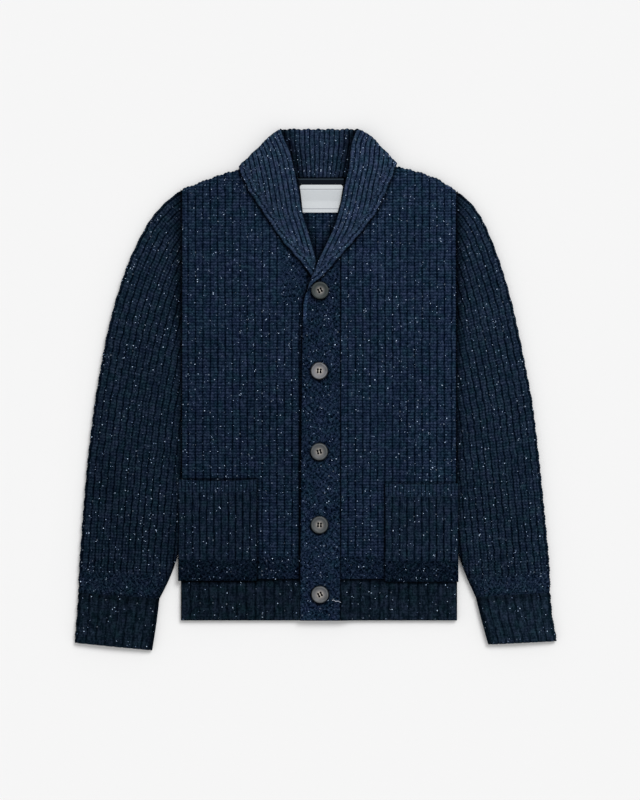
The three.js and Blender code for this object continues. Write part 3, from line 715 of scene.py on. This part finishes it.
# The rows of each sleeve and cuff: outer end, inner end. Between them the tube runs on evenly.
sleeveRows = {
    "left": [
        (-186, 309, -130, 238), (-223, 284, -152, 206), (-250, 254, -164, 177), (-280, 194, -174, 138),
        (-300, 134, -185, 97), (-315, 74, -199.0, 47), (-331, -16, -199.0, -39),
        (-342, -106, -199.0, -120), (-349.5, -196, -199.0, -206), (-353, -246, -206, -248),
        (-355, -271, -217, -280), (-355.5, -304, -234, -313)],
    "right": [
        (196, 306, 140, 235), (229.7, 284.3, 160, 206), (250.7, 254.3, 170, 177),
        (274.7, 194.3, 180, 138), (292.7, 134.3, 192, 97), (306, 74.3, 208.5, 50),
        (324, -15.8, 208.5, -38), (334.7, -105.8, 208.5, -117), (343.7, -195.8, 208.5, -206),
        (348.5, -245, 213.5, -252), (350.7, -275, 226, -282), (351, -304, 239, -310.5)],
}
cuffRows = {
    "left": [(-355.6, -304.5, -234.4, -313.6), (-357.6, -334, -238, -346), (-361.4, -378.8, -245, -390.2)],
    "right": [(351.2, -304.5, 239.4, -311), (353.6, -340, 247.6, -345), (361.4, -376.4, 258, -381.5)],
}
tube = {"height": 7.4, "crown": 2.0, "edge": 3.5, "cuffRibs": 8}


def tubeShell(name, table, seam=None, mossFrom=None, step=1.5):
    table = np.asarray(table, float)
    middles = (table[:, :2] + table[:, 2:]) / 2
    lengths = np.concatenate([[0], np.cumsum(np.hypot(*np.diff(middles, axis=0).T))])
    first = 0.0
    if seam is not None:
        first = np.interp(abs(seam) + 0.6, np.abs(table[:3, 0]), lengths[:3])
    places, ease = roundedSpread(lengths[-1] - first, step, 1.5)
    places = places + first
    rows = np.stack([np.interp(places, lengths, column) for column in table.T], 1)
    rows = np.stack([smoothed(column, 9) for column in rows.T], 1)
    rows[:, 0] += np.sign(rows[:, 0]) * scallop(places, 4.5, 1.0)
    outer = rows[:, :2]
    inner = rows[:, 2:]
    fullWidth = np.hypot(*(inner - outer).T)
    cut = np.ones(len(rows))
    if seam is not None:
        cut = np.clip((seam - outer[:, 0]) / (inner[:, 0] - outer[:, 0]), 0, 1)
    ends = outer + (inner - outer) * cut[:, None]
    mossStart = lengths[-1] + 10 if mossFrom is None else lengths[mossFrom]
    farSeam = 1000.0 if seam is None else seam

    def surface(x, y, distance, width, row):
        whole = fullWidth[row.astype(int)]
        crown = tube["crown"] * np.sin(np.pi * np.clip(distance / whole, 0, 1))
        place = places[row.astype(int)]
        ribs = (distance - tube["edge"]) / pitches["sleeve"]
        mossOn = ramp(place, mossStart - 1, mossStart + 1)
        # Painted shade along both edges of the tube, widest on the inner side by the body, with the painted
        # light from the right.
        shade = dip(distance, 0.4, 3.5) * dip(width - distance, 0.6, 8) * paintedLightRight(x)
        if seam is None:
            ribs = (distance - tube["edge"]) / (whole - 2 * tube["edge"]) * tube["cuffRibs"]
            # Painted shadow at the cuff's top under the sleeve's end.
            shade = shade * dip(place, 0.4, 8) * 1.3
        else:
            # Painted light towards the collar; both sleeves a little darker, the right more, against the
            # painted light from the right; the moss band lighter.
            shade = shade * paintedLightTop(y, -280) * np.where(x > 0, 0.92, 0.98) * (1 + 0.2 * mossOn)
            # Painted shade on the sleeve beside the armhole seam, a narrow dark line and a wide one that
            # fades below the shoulder.
            shade = shade * dip(np.abs(x - seam) + 40 * (y < -240), 0.3, 3.2)
            shade = shade * dip(np.abs(x - seam) + np.maximum(120 - y, 0) / 4, 0.45, 14)
        return {"low": 0 * x, "top": tube["height"] + crown + wavy(x, y, 0.9), "across": ribs,
                "down": place / pitches["course"], "moss": mossOn, "shade": shade,
                "soft": 0.2 + 0.8 * ramp(np.abs(x - farSeam), 1.5, 6.5)}

    ease = np.maximum(ease, 0.72)
    radius = np.interp(cut, [0.97, 1.0], [1.6, tube["edge"]])[:, None]
    return clothShell(name, outer.T, ends.T, surface, 84, radius, ease, hollow=True)


# The collar: two lapels that roll over and lie on the fronts, its rolled back, and the leaf folded below.
lapels = {
    "left": {
        "roll": [(388, -52.4), (378.8, -49.4), (353.3, -37.4), (311.3, -28.4), (266.3, -20.9), (222.8, -7.4),
                 (193.4, 1.4), (176, -2.5), (168, -6)],
        "outer": [(388, -55.6), (381.8, -65.9), (332.3, -116.9), (299.3, -101.9), (264.8, -79.4),
                  (219.8, -48.9), (186.8, -19.4), (171, -7.9), (168, -7.5)],
        "fall": [(388, 11.1), (298, 11.1), (282, 7.8), (168, 7.8)],
        "stand": [(388, 6.6), (298, 6.6), (282, 3.3), (196, 3.3), (190, 7.8), (168, 7.8)],
        "from": 388, "to": 170.5},
    "right": {
        "roll": [(388, 62.4), (372.8, 52.7), (332.3, 49.7), (306.8, 42.9), (275.3, 36.9), (242.3, 27.2),
                 (218.3, 15.2), (193, 3.5), (171.8, -5.1), (158, -11), (148, -13)],
        "outer": [(388, 66), (380.3, 81.2), (338.3, 121.7), (306.8, 109.7), (266.3, 91.7), (228.8, 63.2),
                  (192.8, 30.9), (168, 9.5), (160.5, -1), (152, -10), (147, -11.5)],
        "fall": [(388, 11.1), (298, 11.1), (282, 8.4), (262, 10.4), (240, 11.7), (228, 12.4), (148, 12.4)],
        "stand": [(388, 6.6), (298, 6.6), (282, 3.3), (262, 3.3), (240, 7.8), (196, 7.8), (190, 12.4),
                  (148, 12.4)],
        "from": 388, "to": 149.0},
}
collar = {"stand": 16.2, "edgeRib": 13.0, "edgeFirst": 40, "foldY": 332.0, "radius": 3.2}
behindNeck = {"left": -54.0, "right": 64.5, "top": 390.7, "foot": 316.1, "footLeft": -42.6, "footRight": 51.6,
              "widens": 50}
leaf = {"bottom": 299.5, "height": 43.0,
        "left": [(299.5, -50), (308, -92), (331.8, -117), (343, -103)],
        "right": [(299.5, 54), (308, 96), (337.8, 121.8), (343, 112)]}


def lapelShell(side):
    look = lapels[side]
    places, ease = roundedSpread(look["from"] - look["to"], 1.5, 2.0)
    ys = look["from"] - places
    roll = smoothed(along(look["roll"], ys), 5)
    outer = smoothed(along(look["outer"], ys), 1.5)
    outer = outer + np.sign(outer - roll) * scallop(ys, 4.8, 1.3) * np.clip((outer - roll) ** 2 / 400, 0, 1)
    steep = np.abs(np.gradient(outer, ys))
    lean = 1 / np.sqrt(1 + steep ** 2)

    def surface(x, y, distance, width, row):
        fall = along(look["fall"], y)
        stand = along(look["stand"], y)
        low = np.where(distance < collar["stand"], stand, fall)
        low = low * (1 - ramp(y, collar["foldY"] - 6, collar["foldY"] + 4))
        toEdge = (width - distance) * lean[row.astype(int)]
        onEdge = (toEdge < collar["edgeRib"]) & (y < collar["foldY"])
        across = np.where(onEdge, toEdge / (collar["edgeRib"] / 2) + collar["edgeFirst"],
                          distance / pitches["collar"])
        # Painted shade along both edges of the lapel, with the painted light from the right.
        shade = dip(distance, 0.3, 2.0) * dip(width - distance, 0.35, 1.6) * paintedLightRight(x) * 1.05
        return {"low": low, "top": fall + wall + wavy(x, y, 0.6), "across": across, "wales": 1.0,
                "shade": shade}

    return clothShell("lapel" + side, (roll, ys), (outer, ys), surface, 62, collar["radius"], ease,
                      breaks=(collar["stand"] - 0.1, collar["stand"] + 0.1))


def backStand():
    look = behindNeck
    span = look["right"] - look["left"]
    places, ease = roundedSpread(span, 1.3, 1.5)
    xs = look["left"] + places
    count = round(span / pitches["collar"])

    def surface(x, y, distance, width, row):
        t = np.clip((y - look["foot"]) / look["widens"], 0, 1)
        share = (x - look["left"]) / span
        moved = (look["footLeft"] + (look["footRight"] - look["footLeft"]) * share) * (1 - t) + x * t
        # Painted shadow beside the rolled edges and along the foot of the stand.
        shade = 0.82 * dip(insideRolls(moved, y), 0.82, 14) * dip(y - look["foot"], 0.4, 4) * paintedLightRight(x)
        return {"x": moved, "low": 0 * x, "top": frontZ + wall + 0 * x, "across": share * count,
                "wales": 1.0, "shade": shade}

    tops = look["top"] + scallop(xs, pitches["collar"], 1.4) - 0.7
    return clothShell("backStand", (xs, look["foot"]), (xs, tops), surface, 50, 3.0, ease)


def leafShell():
    places, ease = roundedSpread(leaf["height"], 5.0, 1.5)
    ys = leaf["bottom"] + places

    def surface(x, y, distance, width, row):
        return {"low": 0 * x, "top": wall + 0 * x, "across": x / pitches["collar"], "wales": 1.0,
                "soft": 0.0}

    return clothShell("leaf", (along(leaf["left"], ys), ys), (along(leaf["right"], ys), ys), surface, 30, 1.5,
                      ease)


# The buttons: horn, with a rim, a dished middle and four holes, sewn on with dark thread.
buttonLook = {"radius": 12.9, "segments": 72, "hole": 1.7, "holeX": 2.05, "holeY": 2.1, "thread": 0.34,
              "profile": [(0.001, 0.0), (9, 0.0), (11.2, 0.5), (12.3, 1.3), (12.9, 2.4), (12.75, 3.0),
                          (12.2, 3.5), (11.6, 3.9), (11.0, 4.0), (10.3, 3.9), (9.4, 3.5), (8.6, 3.05),
                          (7.6, 2.75), (6.0, 2.6), (0.001, 2.5)]}
buttonPlaces = [{"x": 5.9, "y": 147.8, "turn": 27, "tilt": 5, "lift": 1.3, "rimDarkening": 1.0},
                {"x": 5.0, "y": 27.8, "turn": -3, "tilt": 0, "lift": 0, "rimDarkening": 0.0},
                {"x": 5.0, "y": -92.9, "turn": 14, "tilt": 0, "lift": 0, "rimDarkening": 0.56},
                {"x": 5.4, "y": -202.2, "turn": -3, "tilt": 0, "lift": 0, "rimDarkening": 0.72},
                {"x": 6.1, "y": -306.2, "turn": 27, "tilt": 0, "lift": 0, "rimDarkening": 0.38}]
bands = {"overTop": 222.5, "overThick": 2.7, "underTop": 189.0,
         "overSlope": [(-2.9, 158.3), (8, 172), (18, 187), (22, 195), (32.8, 217), (35.2, 223)],
         "underSlope": [(-6.5, 160), (-1, 178), (14, 185), (30, 189.5)]}


def bandOver():
    places, ease = roundedSpread(bands["overTop"] - body["hemBottom"], 1.5, 1.2)
    ys = body["hemBottom"] + places
    lefts = along([*bandEdge, *bands["overSlope"]], ys, 0, 1)

    def surface(x, y, distance, width, row):
        low = onFrontZ + 0 * x
        # Painted shade along both edges of the band and the painted shadow of the lapels over it.
        shade = lapelShadows(x, y) * dip(distance, 0.35, 1.5) * dip(width - distance, 0.4, 1.5) * 0.98
        # Painted highlight along the band's rolled left edge below the collar, where the moss stitch also
        # gives way.
        litRoll = ramp(y, 92, 112) * (1 - ramp(y, 150, 158)) * np.exp(-((distance - 3.0) / 2.6) ** 4)
        shade = shade * (1 + 1.1 * litRoll)
        # Painted shadow around each button.
        for spot in buttonPlaces:
            away = np.hypot(x - spot["x"], y - spot["y"] + 0.8) - buttonLook["radius"]
            shade = shade * dip(away, 0.75, 2.6)
        return {"low": low, "top": low + bands["overThick"] + wavy(x, y, 0.2), "across": x / pitches["body"],
                "moss": 1 - 0.7 * litRoll, "shade": shade}

    return clothShell("bandOver", (lefts, ys), (body["bandRight"], ys), surface, 42, 1.4, ease)


def bandUnder():
    tuck = body["bandTuck"] + gap
    places, ease = roundedSpread(bands["underTop"] - body["hemBottom"], 4.0, 1.2)
    ys = body["hemBottom"] + places
    lefts = along([*[(x + tuck, y) for x, y in bandEdge[1:]], *bands["underSlope"]], ys, 0, 1)

    def surface(x, y, distance, width, row):
        low = frontZ + 0 * x
        return {"low": low, "top": low + wall, "across": x / pitches["body"], "moss": 1.0}

    return clothShell("bandUnder", (lefts, ys), (body["bandRight"] - 1, ys), surface, 20, 1.2, ease)


pockets = {
    "left": {"from": -206.0, "to": -88.0, "top": -134.3, "bottom": -286.5, "sag": 3.0, "shadow": 0.7},
    "right": {"from": 103.0, "to": 213.2, "top": -140.3, "bottom": -288.0, "sag": 2.0, "shadow": 0.45},
}
pocketLook = {"hem": 18.0, "moss": 32.0, "course": 4.2}


def pocketShell(side):
    look = pockets[side]
    span = look["to"] - look["from"]
    count = round(span / pitches["pocket"])
    places, ease = roundedSpread(span, 1.4, 1.8)
    xs = look["from"] + places
    across = places / span
    tops = look["top"] - look["sag"] * 4 * across * (1 - across) * 0.8

    def surface(x, y, distance, width, row):
        ribsOn = ramp(width - distance, pocketLook["hem"] - 1, pocketLook["hem"] + 1)
        mossOn = 1 - ramp(distance, pocketLook["moss"] - 1, pocketLook["moss"] + 1)
        toSide = np.minimum(x - look["from"], look["to"] - x)
        # Painted shade at the pocket's sides and bottom edge, with the painted light from the right.
        shade = dip(toSide, 0.3, 2) * dip(distance, 0.4, 3) * paintedLightRight(x)
        shade = shade * (1.3 - 0.3 * ribsOn - 0.2 * mossOn)
        return {"low": onFrontZ + 0 * x, "top": onFrontZ + wall + wavy(x, y, 0.6),
                "across": (x - look["from"]) / span * count * np.where(ribsOn > 0.5, 1, 2),
                "down": y / pocketLook["course"], "wales": np.where(ribsOn > 0.5, 2.0, 1.0), "moss": mossOn,
                "shade": shade, "soft": 0.45 + 0.55 * ribsOn}

    return clothShell("pocket" + side, (xs, look["bottom"]), (xs, tops), surface, 108, 1.8, ease)


knitPiece("backKnit", [backPanel()], "plain", "bodyYarn", ["back"], (412, 620),
          density=4500.0)
knitPiece("hemBackKnit", [hemPart("hemBack", body["hemLeft"], body["hemRight"], 0, step=5)], "plain",
          "hemYarn", ["hem_back"], (413.5, 61.5), density=0)
knitPiece("leftFrontKnit", [frontPanel("left")], "body", "bodyYarn", ["front_left"], (195, 613),
          seed=3)
knitPiece("rightFrontKnit", [frontPanel("right")], "body", "bodyYarn", ["front_right"], (174, 618),
          seed=4)
hemEnd = bandEdge[-1][0] + body["bandTuck"]
knitPiece("leftHemKnit", [hemPart("hemLeft", body["hemLeft"], hemEnd, frontZ, "left")], "hem", "hemYarn",
          ["hem_front_left"], (181, 61.5), density=3800.0, seed=5)
knitPiece("rightHemKnit", [hemPart("hemRight", body["seam"], body["hemRight"], frontZ, "right")], "hem",
          "hemYarn", ["hem_front_right"], (174.7, 61.5), density=4600.0, seed=6)
print("body ready")

for side, seam in (("left", body["left"] - gap), ("right", body["right"] + gap)):
    knitPiece(side + "SleeveKnit", [tubeShell("sleeve" + side, sleeveRows[side], seam, 10)],
              "body", "sleeveYarn", ["sleeve_" + side], (300, 620), seed=7)
    knitPiece(side + "CuffKnit", [tubeShell("cuff" + side, cuffRows[side])], "hem", "hemYarn",
              ["cuff_" + side], (232, 76), density=4600.0, seed=8)
print("sleeves ready")

knitPiece("bandOverKnit", [bandOver()], "body", "bodyYarn", ["band_over"], (60.4, 568.3),
          seed=9, extras=[strayFibre()])
knitPiece("bandUnderKnit", [bandUnder()], "plain", "bodyYarn", ["band_under"], (56.4, 534.8),
          density=0)
for side in pockets:
    look = pockets[side]
    knitPiece(side + "PocketKnit", [pocketShell(side)], "body", "pocketYarn", ["pocket_" + side],
              (look["to"] - look["from"], look["top"] - look["bottom"]),
              density=4200.0, seed=10)
knitPiece("collarKnit", [lapelShell("left"), lapelShell("right"), backStand(), leafShell()], "collar",
          "collarYarn", ["collar"], (270, 245),
          seed=11, density=11000.0)
print("collar ready")


# The neck's trim: a woven label, left blank, and the tape above it.
neckLabel = {"left": -24.3, "right": 40.6, "top": 306.3, "bottom": 265.0, "thick": 1.0, "corner": 4.0,
             "frame": (270.8, 299.6),
             "leftLean": [(265, 4.5), (282, 2.7), (298, 0.9), (302.3, 0), (306.6, 0)],
             "rightLean": [(265, 8), (282, 3.4), (298, 0.9), (302.3, 0), (306.6, 0)]}
neckTape = {"left": -26.0, "right": 41.5, "top": 315.5, "height": 9.0, "thick": 1.0}


def trimShell(name, lefts, rights, ys, thick, ease):
    def surface(x, y, distance, width, row):
        low = wall + neckLift(y) + gap
        return {"low": low, "top": low + thick, "across": x / 10, "down": y / 10, "soft": 0.0}

    return clothShell(name, (lefts, ys), (rights, ys), surface, 40, 0.4, ease)


def labelMaterial():
    material, maker, shader = plainMaterial("labelSatin", (0.62, 0.64, 0.68, 1), 0.5, 0.4)
    x, y, _ = maker.placeParts()
    wave = maker.wave(y, 0.0008) * 0.6 + maker.wave(x, 0.0011) * 0.4
    colour = maker.blend(wave, (0.54, 0.57, 0.60, 1), (0.70, 0.73, 0.75, 1))
    for edge in neckLabel["frame"]:
        away = maker.math("ABSOLUTE", y - (edge + shiftY) * mm)
        line = (1 - maker.smooth(away, 0.0003, 0.0009)) * 0.7
        colour = maker.blend(line, colour, (0.20, 0.21, 0.25, 1))
    maker.feed(shader.inputs["Base Color"], colour)
    maker.bump(shader, 0.35, 0.0003, wave)
    return material


def tapeMaterial():
    material, maker, shader = plainMaterial("tapeTwill", (0.006, 0.008, 0.012, 1), 0.85, 0.04)
    x, y, _ = maker.placeParts()
    colour = maker.blend(maker.wave(x + y, 0.0016), (0.002, 0.003, 0.006, 1), (0.007, 0.010, 0.016, 1))
    seamY = (neckTape["top"] + shiftY) * mm
    nearSeam = maker.smooth(y, seamY - 0.0022, seamY - 0.0008)
    colour = maker.blend(nearSeam, colour, (0.030, 0.045, 0.062, 1))
    maker.feed(shader.inputs["Base Color"], colour)
    return material


def trimPiece(name, base, material, node):
    piece = linked(name, base.data.copy())
    bpy.data.objects.remove(base)
    piece.data.materials.append(material)
    smoothFaces(piece)
    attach(piece, "root")
    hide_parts(node)


def labelBase():
    look = neckLabel
    places, ease = roundedSpread(look["top"] - look["bottom"], 1.5, 0.4)
    ys = look["bottom"] + places
    toTop = np.clip(ys - (look["top"] - look["corner"]), 0, look["corner"])
    rounding = look["corner"] - np.sqrt(np.maximum(look["corner"] ** 2 - toTop ** 2, 0))
    lefts = look["left"] + along(look["leftLean"], ys) + rounding
    rights = look["right"] - along(look["rightLean"], ys) - rounding
    return trimShell("label", lefts, rights, ys, look["thick"], ease)


def tapeBase():
    look = neckTape
    places, ease = roundedSpread(look["height"], 1.5, 0.4)
    ys = look["top"] - look["height"] + places
    return trimShell("tape", look["left"], look["right"], ys, look["thick"], ease)


trimPiece("labelCloth", labelBase(), labelMaterial(), "neck_label")
trimPiece("tapeCloth", tapeBase(), tapeMaterial(), "neck_tape")
print("trim ready")


def hornMaterial():
    material, maker, shader = plainMaterial("horn", (0.12, 0.115, 0.118, 1), 0.42, 0.25)
    place = maker.place()
    swirl = maker.noise(place, 55.0, 3.0, twist=1.2)
    grain = maker.noise(place, 900.0)
    out = maker.attribute("fromMiddle")
    # Lighter beige middle, darker outwards, a lighter ring on the rim's crest that is a painted highlight,
    # and a near-black outer edge that is painted shade.
    colour = maker.colourRamp(out + (swirl - 0.5) * 0.3, [
        (0.2, (0.52, 0.48, 0.42, 1)), (0.42, (0.220, 0.208, 0.204, 1)), (0.66, (0.150, 0.150, 0.161, 1)),
        (0.82, (0.122, 0.125, 0.136, 1)), (0.88, (0.195, 0.200, 0.210, 1)), (0.94, (0.028, 0.030, 0.034, 1))])
    colour = maker.shaded(colour, maker.smooth(swirl + (grain - 0.5) * 0.3, 0.35, 0.6) * 0.5 + 0.7)
    # Each button darkens towards its rim by its own amount; on the first this is painted shade from the
    # lapel's tail.
    rimDark = (maker.smooth(out, 0.25, 0.7) * 0.6 + 0.4) * maker.attribute("rimDarkening")
    colour = maker.blend(rimDark, colour, (0.034, 0.042, 0.042, 1))
    maker.feed(shader.inputs["Base Color"], colour)
    maker.feed(shader.inputs["Roughness"], grain * 0.2 + 0.36)
    maker.bump(shader, 0.2, 0.0003, grain)
    return material


# A round peg in each of the four holes.
def addPegs(shape, radius, depth, z, segments):
    for side in (-1, 1):
        for end in (-1, 1):
            place = Matrix.Translation((side * buttonLook["holeX"], end * buttonLook["holeY"], z))
            bmesh.ops.create_cone(shape, cap_ends=True, segments=segments, radius1=radius, radius2=radius,
                                  depth=depth, matrix=place)


def buttonMesh():
    look = buttonLook
    shape = bmesh.new()
    rings = []
    for radius, z in look["profile"]:
        angles = [2 * math.pi * i / look["segments"] for i in range(look["segments"])]
        if radius < 0.01:
            rings.append([shape.verts.new((0, 0, z))])
        else:
            rings.append([shape.verts.new((radius * math.cos(a), radius * math.sin(a), z)) for a in angles])
    for low, high in zip(rings, rings[1:]):
        for i in range(look["segments"]):
            j = (i + 1) % look["segments"]
            corners = [low[i % len(low)], low[j % len(low)], high[j % len(high)], high[i % len(high)]]
            shape.faces.new(list(dict.fromkeys(corners)))
    whole = linked("buttonWhole", meshOf("button", shape))
    cutter = bmesh.new()
    addPegs(cutter, look["hole"], 12, 2, 20)
    drill = linked("drill", meshOf("holes", cutter))
    modifier = whole.modifiers.new("holes", "BOOLEAN")
    modifier.operation = "DIFFERENCE"
    modifier.object = drill
    modifier.solver = "EXACT"
    graph = bpy.context.evaluated_depsgraph_get()
    made = bpy.data.meshes.new_from_object(whole.evaluated_get(graph), depsgraph=graph)
    bpy.data.objects.remove(whole)
    bpy.data.objects.remove(drill)
    return made


def threadMesh():
    look = buttonLook
    shape = bmesh.new()
    for side in (-1, 1):
        for strand in (-0.75, -0.25, 0.25, 0.75):
            x = side * look["holeX"] + strand
            path = [(x, look["holeY"] * t, 2.8 - 1.6 * max(0, abs(t) - 0.75) / 0.25)
                    for t in (-1.0, -0.85, -0.6, 0.0, 0.6, 0.85, 1.0)]
            addRod(shape, path, look["thread"], "y")
    # Dark plugs fill the holes: partly the thread passing through them, partly painted shade in the holes.
    addPegs(shape, look["hole"] - 0.02, 2.2, 1.2, 16)
    return meshOf("thread", shape)


def addButtons():
    horn = hornMaterial()
    thread, _, _ = plainMaterial("thread", (0.004, 0.004, 0.006, 1), 0.8, 0.05)
    disc = buttonMesh()
    stitch = threadMesh()
    for index, spot in enumerate(buttonPlaces):
        z = onFrontZ + wall + ribRise / 2 + gap + spot["lift"]
        turn = Matrix.Rotation(math.radians(spot["turn"]), 4, "Z")
        turn = turn @ Matrix.Rotation(math.radians(spot["tilt"]), 4, "Y")
        pose = Matrix.Scale(mm, 4) @ Matrix.Translation((spot["x"], spot["y"] + shiftY, z)) @ turn
        for name, mesh, material in (("hornButton", disc, horn), ("buttonThread", stitch, thread)):
            copy = mesh.copy()
            out = [math.hypot(vertex.co.x, vertex.co.y) / buttonLook["radius"] for vertex in copy.vertices]
            for key, values in (("fromMiddle", out), ("rimDarkening", [spot["rimDarkening"]] * len(out))):
                copy.attributes.new(key, "FLOAT", "POINT").data.foreach_set("value", values)
            copy.transform(pose)
            copy.materials.clear()
            copy.materials.append(material)
            made = linked(f"{name}{index + 1}", copy)
            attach(made, "root")
            if name == "hornButton":
                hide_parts(f"button_{index + 1}")
                smoothFaces(made)
                made.data.set_sharp_from_angle(angle=math.radians(40))


addButtons()
print("buttons ready")


# The stage: a plain pale floor, soft light from above and the camera straight over it. Places are in metres.
studio = {"reach": 6.0, "floor": -0.0006, "sky": 0.62, "sun": 1.75, "sunSpread": 28,
          "sunPlace": (1.0, 1.6, 2.0), "lens": 90, "sensor": 36, "cameraPlace": (0.00615, -0.016, 3.0)}


def addStage():
    floorMesh = bpy.data.meshes.new("floor")
    reach = studio["reach"]
    corners = [(-reach, -reach), (reach, -reach), (reach, reach), (-reach, reach)]
    floorMesh.from_pydata([(x, y, studio["floor"]) for x, y in corners], [], [(0, 1, 2, 3)])
    floor = linked("floor", floorMesh)
    paper, _, _ = plainMaterial("paper", (0.90, 0.90, 0.90, 1), 0.9, 0.1)
    floorMesh.materials.append(paper)

    world = bpy.data.worlds.new("studio")
    world.use_nodes = True
    world.node_tree.nodes["Background"].inputs["Color"].default_value = (1, 1, 1, 1)
    world.node_tree.nodes["Background"].inputs["Strength"].default_value = studio["sky"]
    bpy.context.scene.world = world
    data = bpy.data.lights.new("keyLight", "SUN")
    data.angle = math.radians(studio["sunSpread"])
    data.energy = studio["sun"]
    lamp = bpy.data.objects.new("keyLight", data)
    lamp.location = studio["sunPlace"]
    lamp.rotation_euler = (-lamp.location).to_track_quat("-Z", "Y").to_euler()
    bpy.context.scene.collection.objects.link(lamp)

    camera = bpy.data.cameras.new("camera")
    camera.sensor_width = studio["sensor"]
    camera.lens = studio["lens"]
    view = bpy.data.objects.new("camera", camera)
    view.location = studio["cameraPlace"]
    bpy.context.scene.collection.objects.link(view)
    bpy.context.scene.camera = view
    bpy.context.scene.view_settings.view_transform = "Standard"


addStage()
print("scene ready")
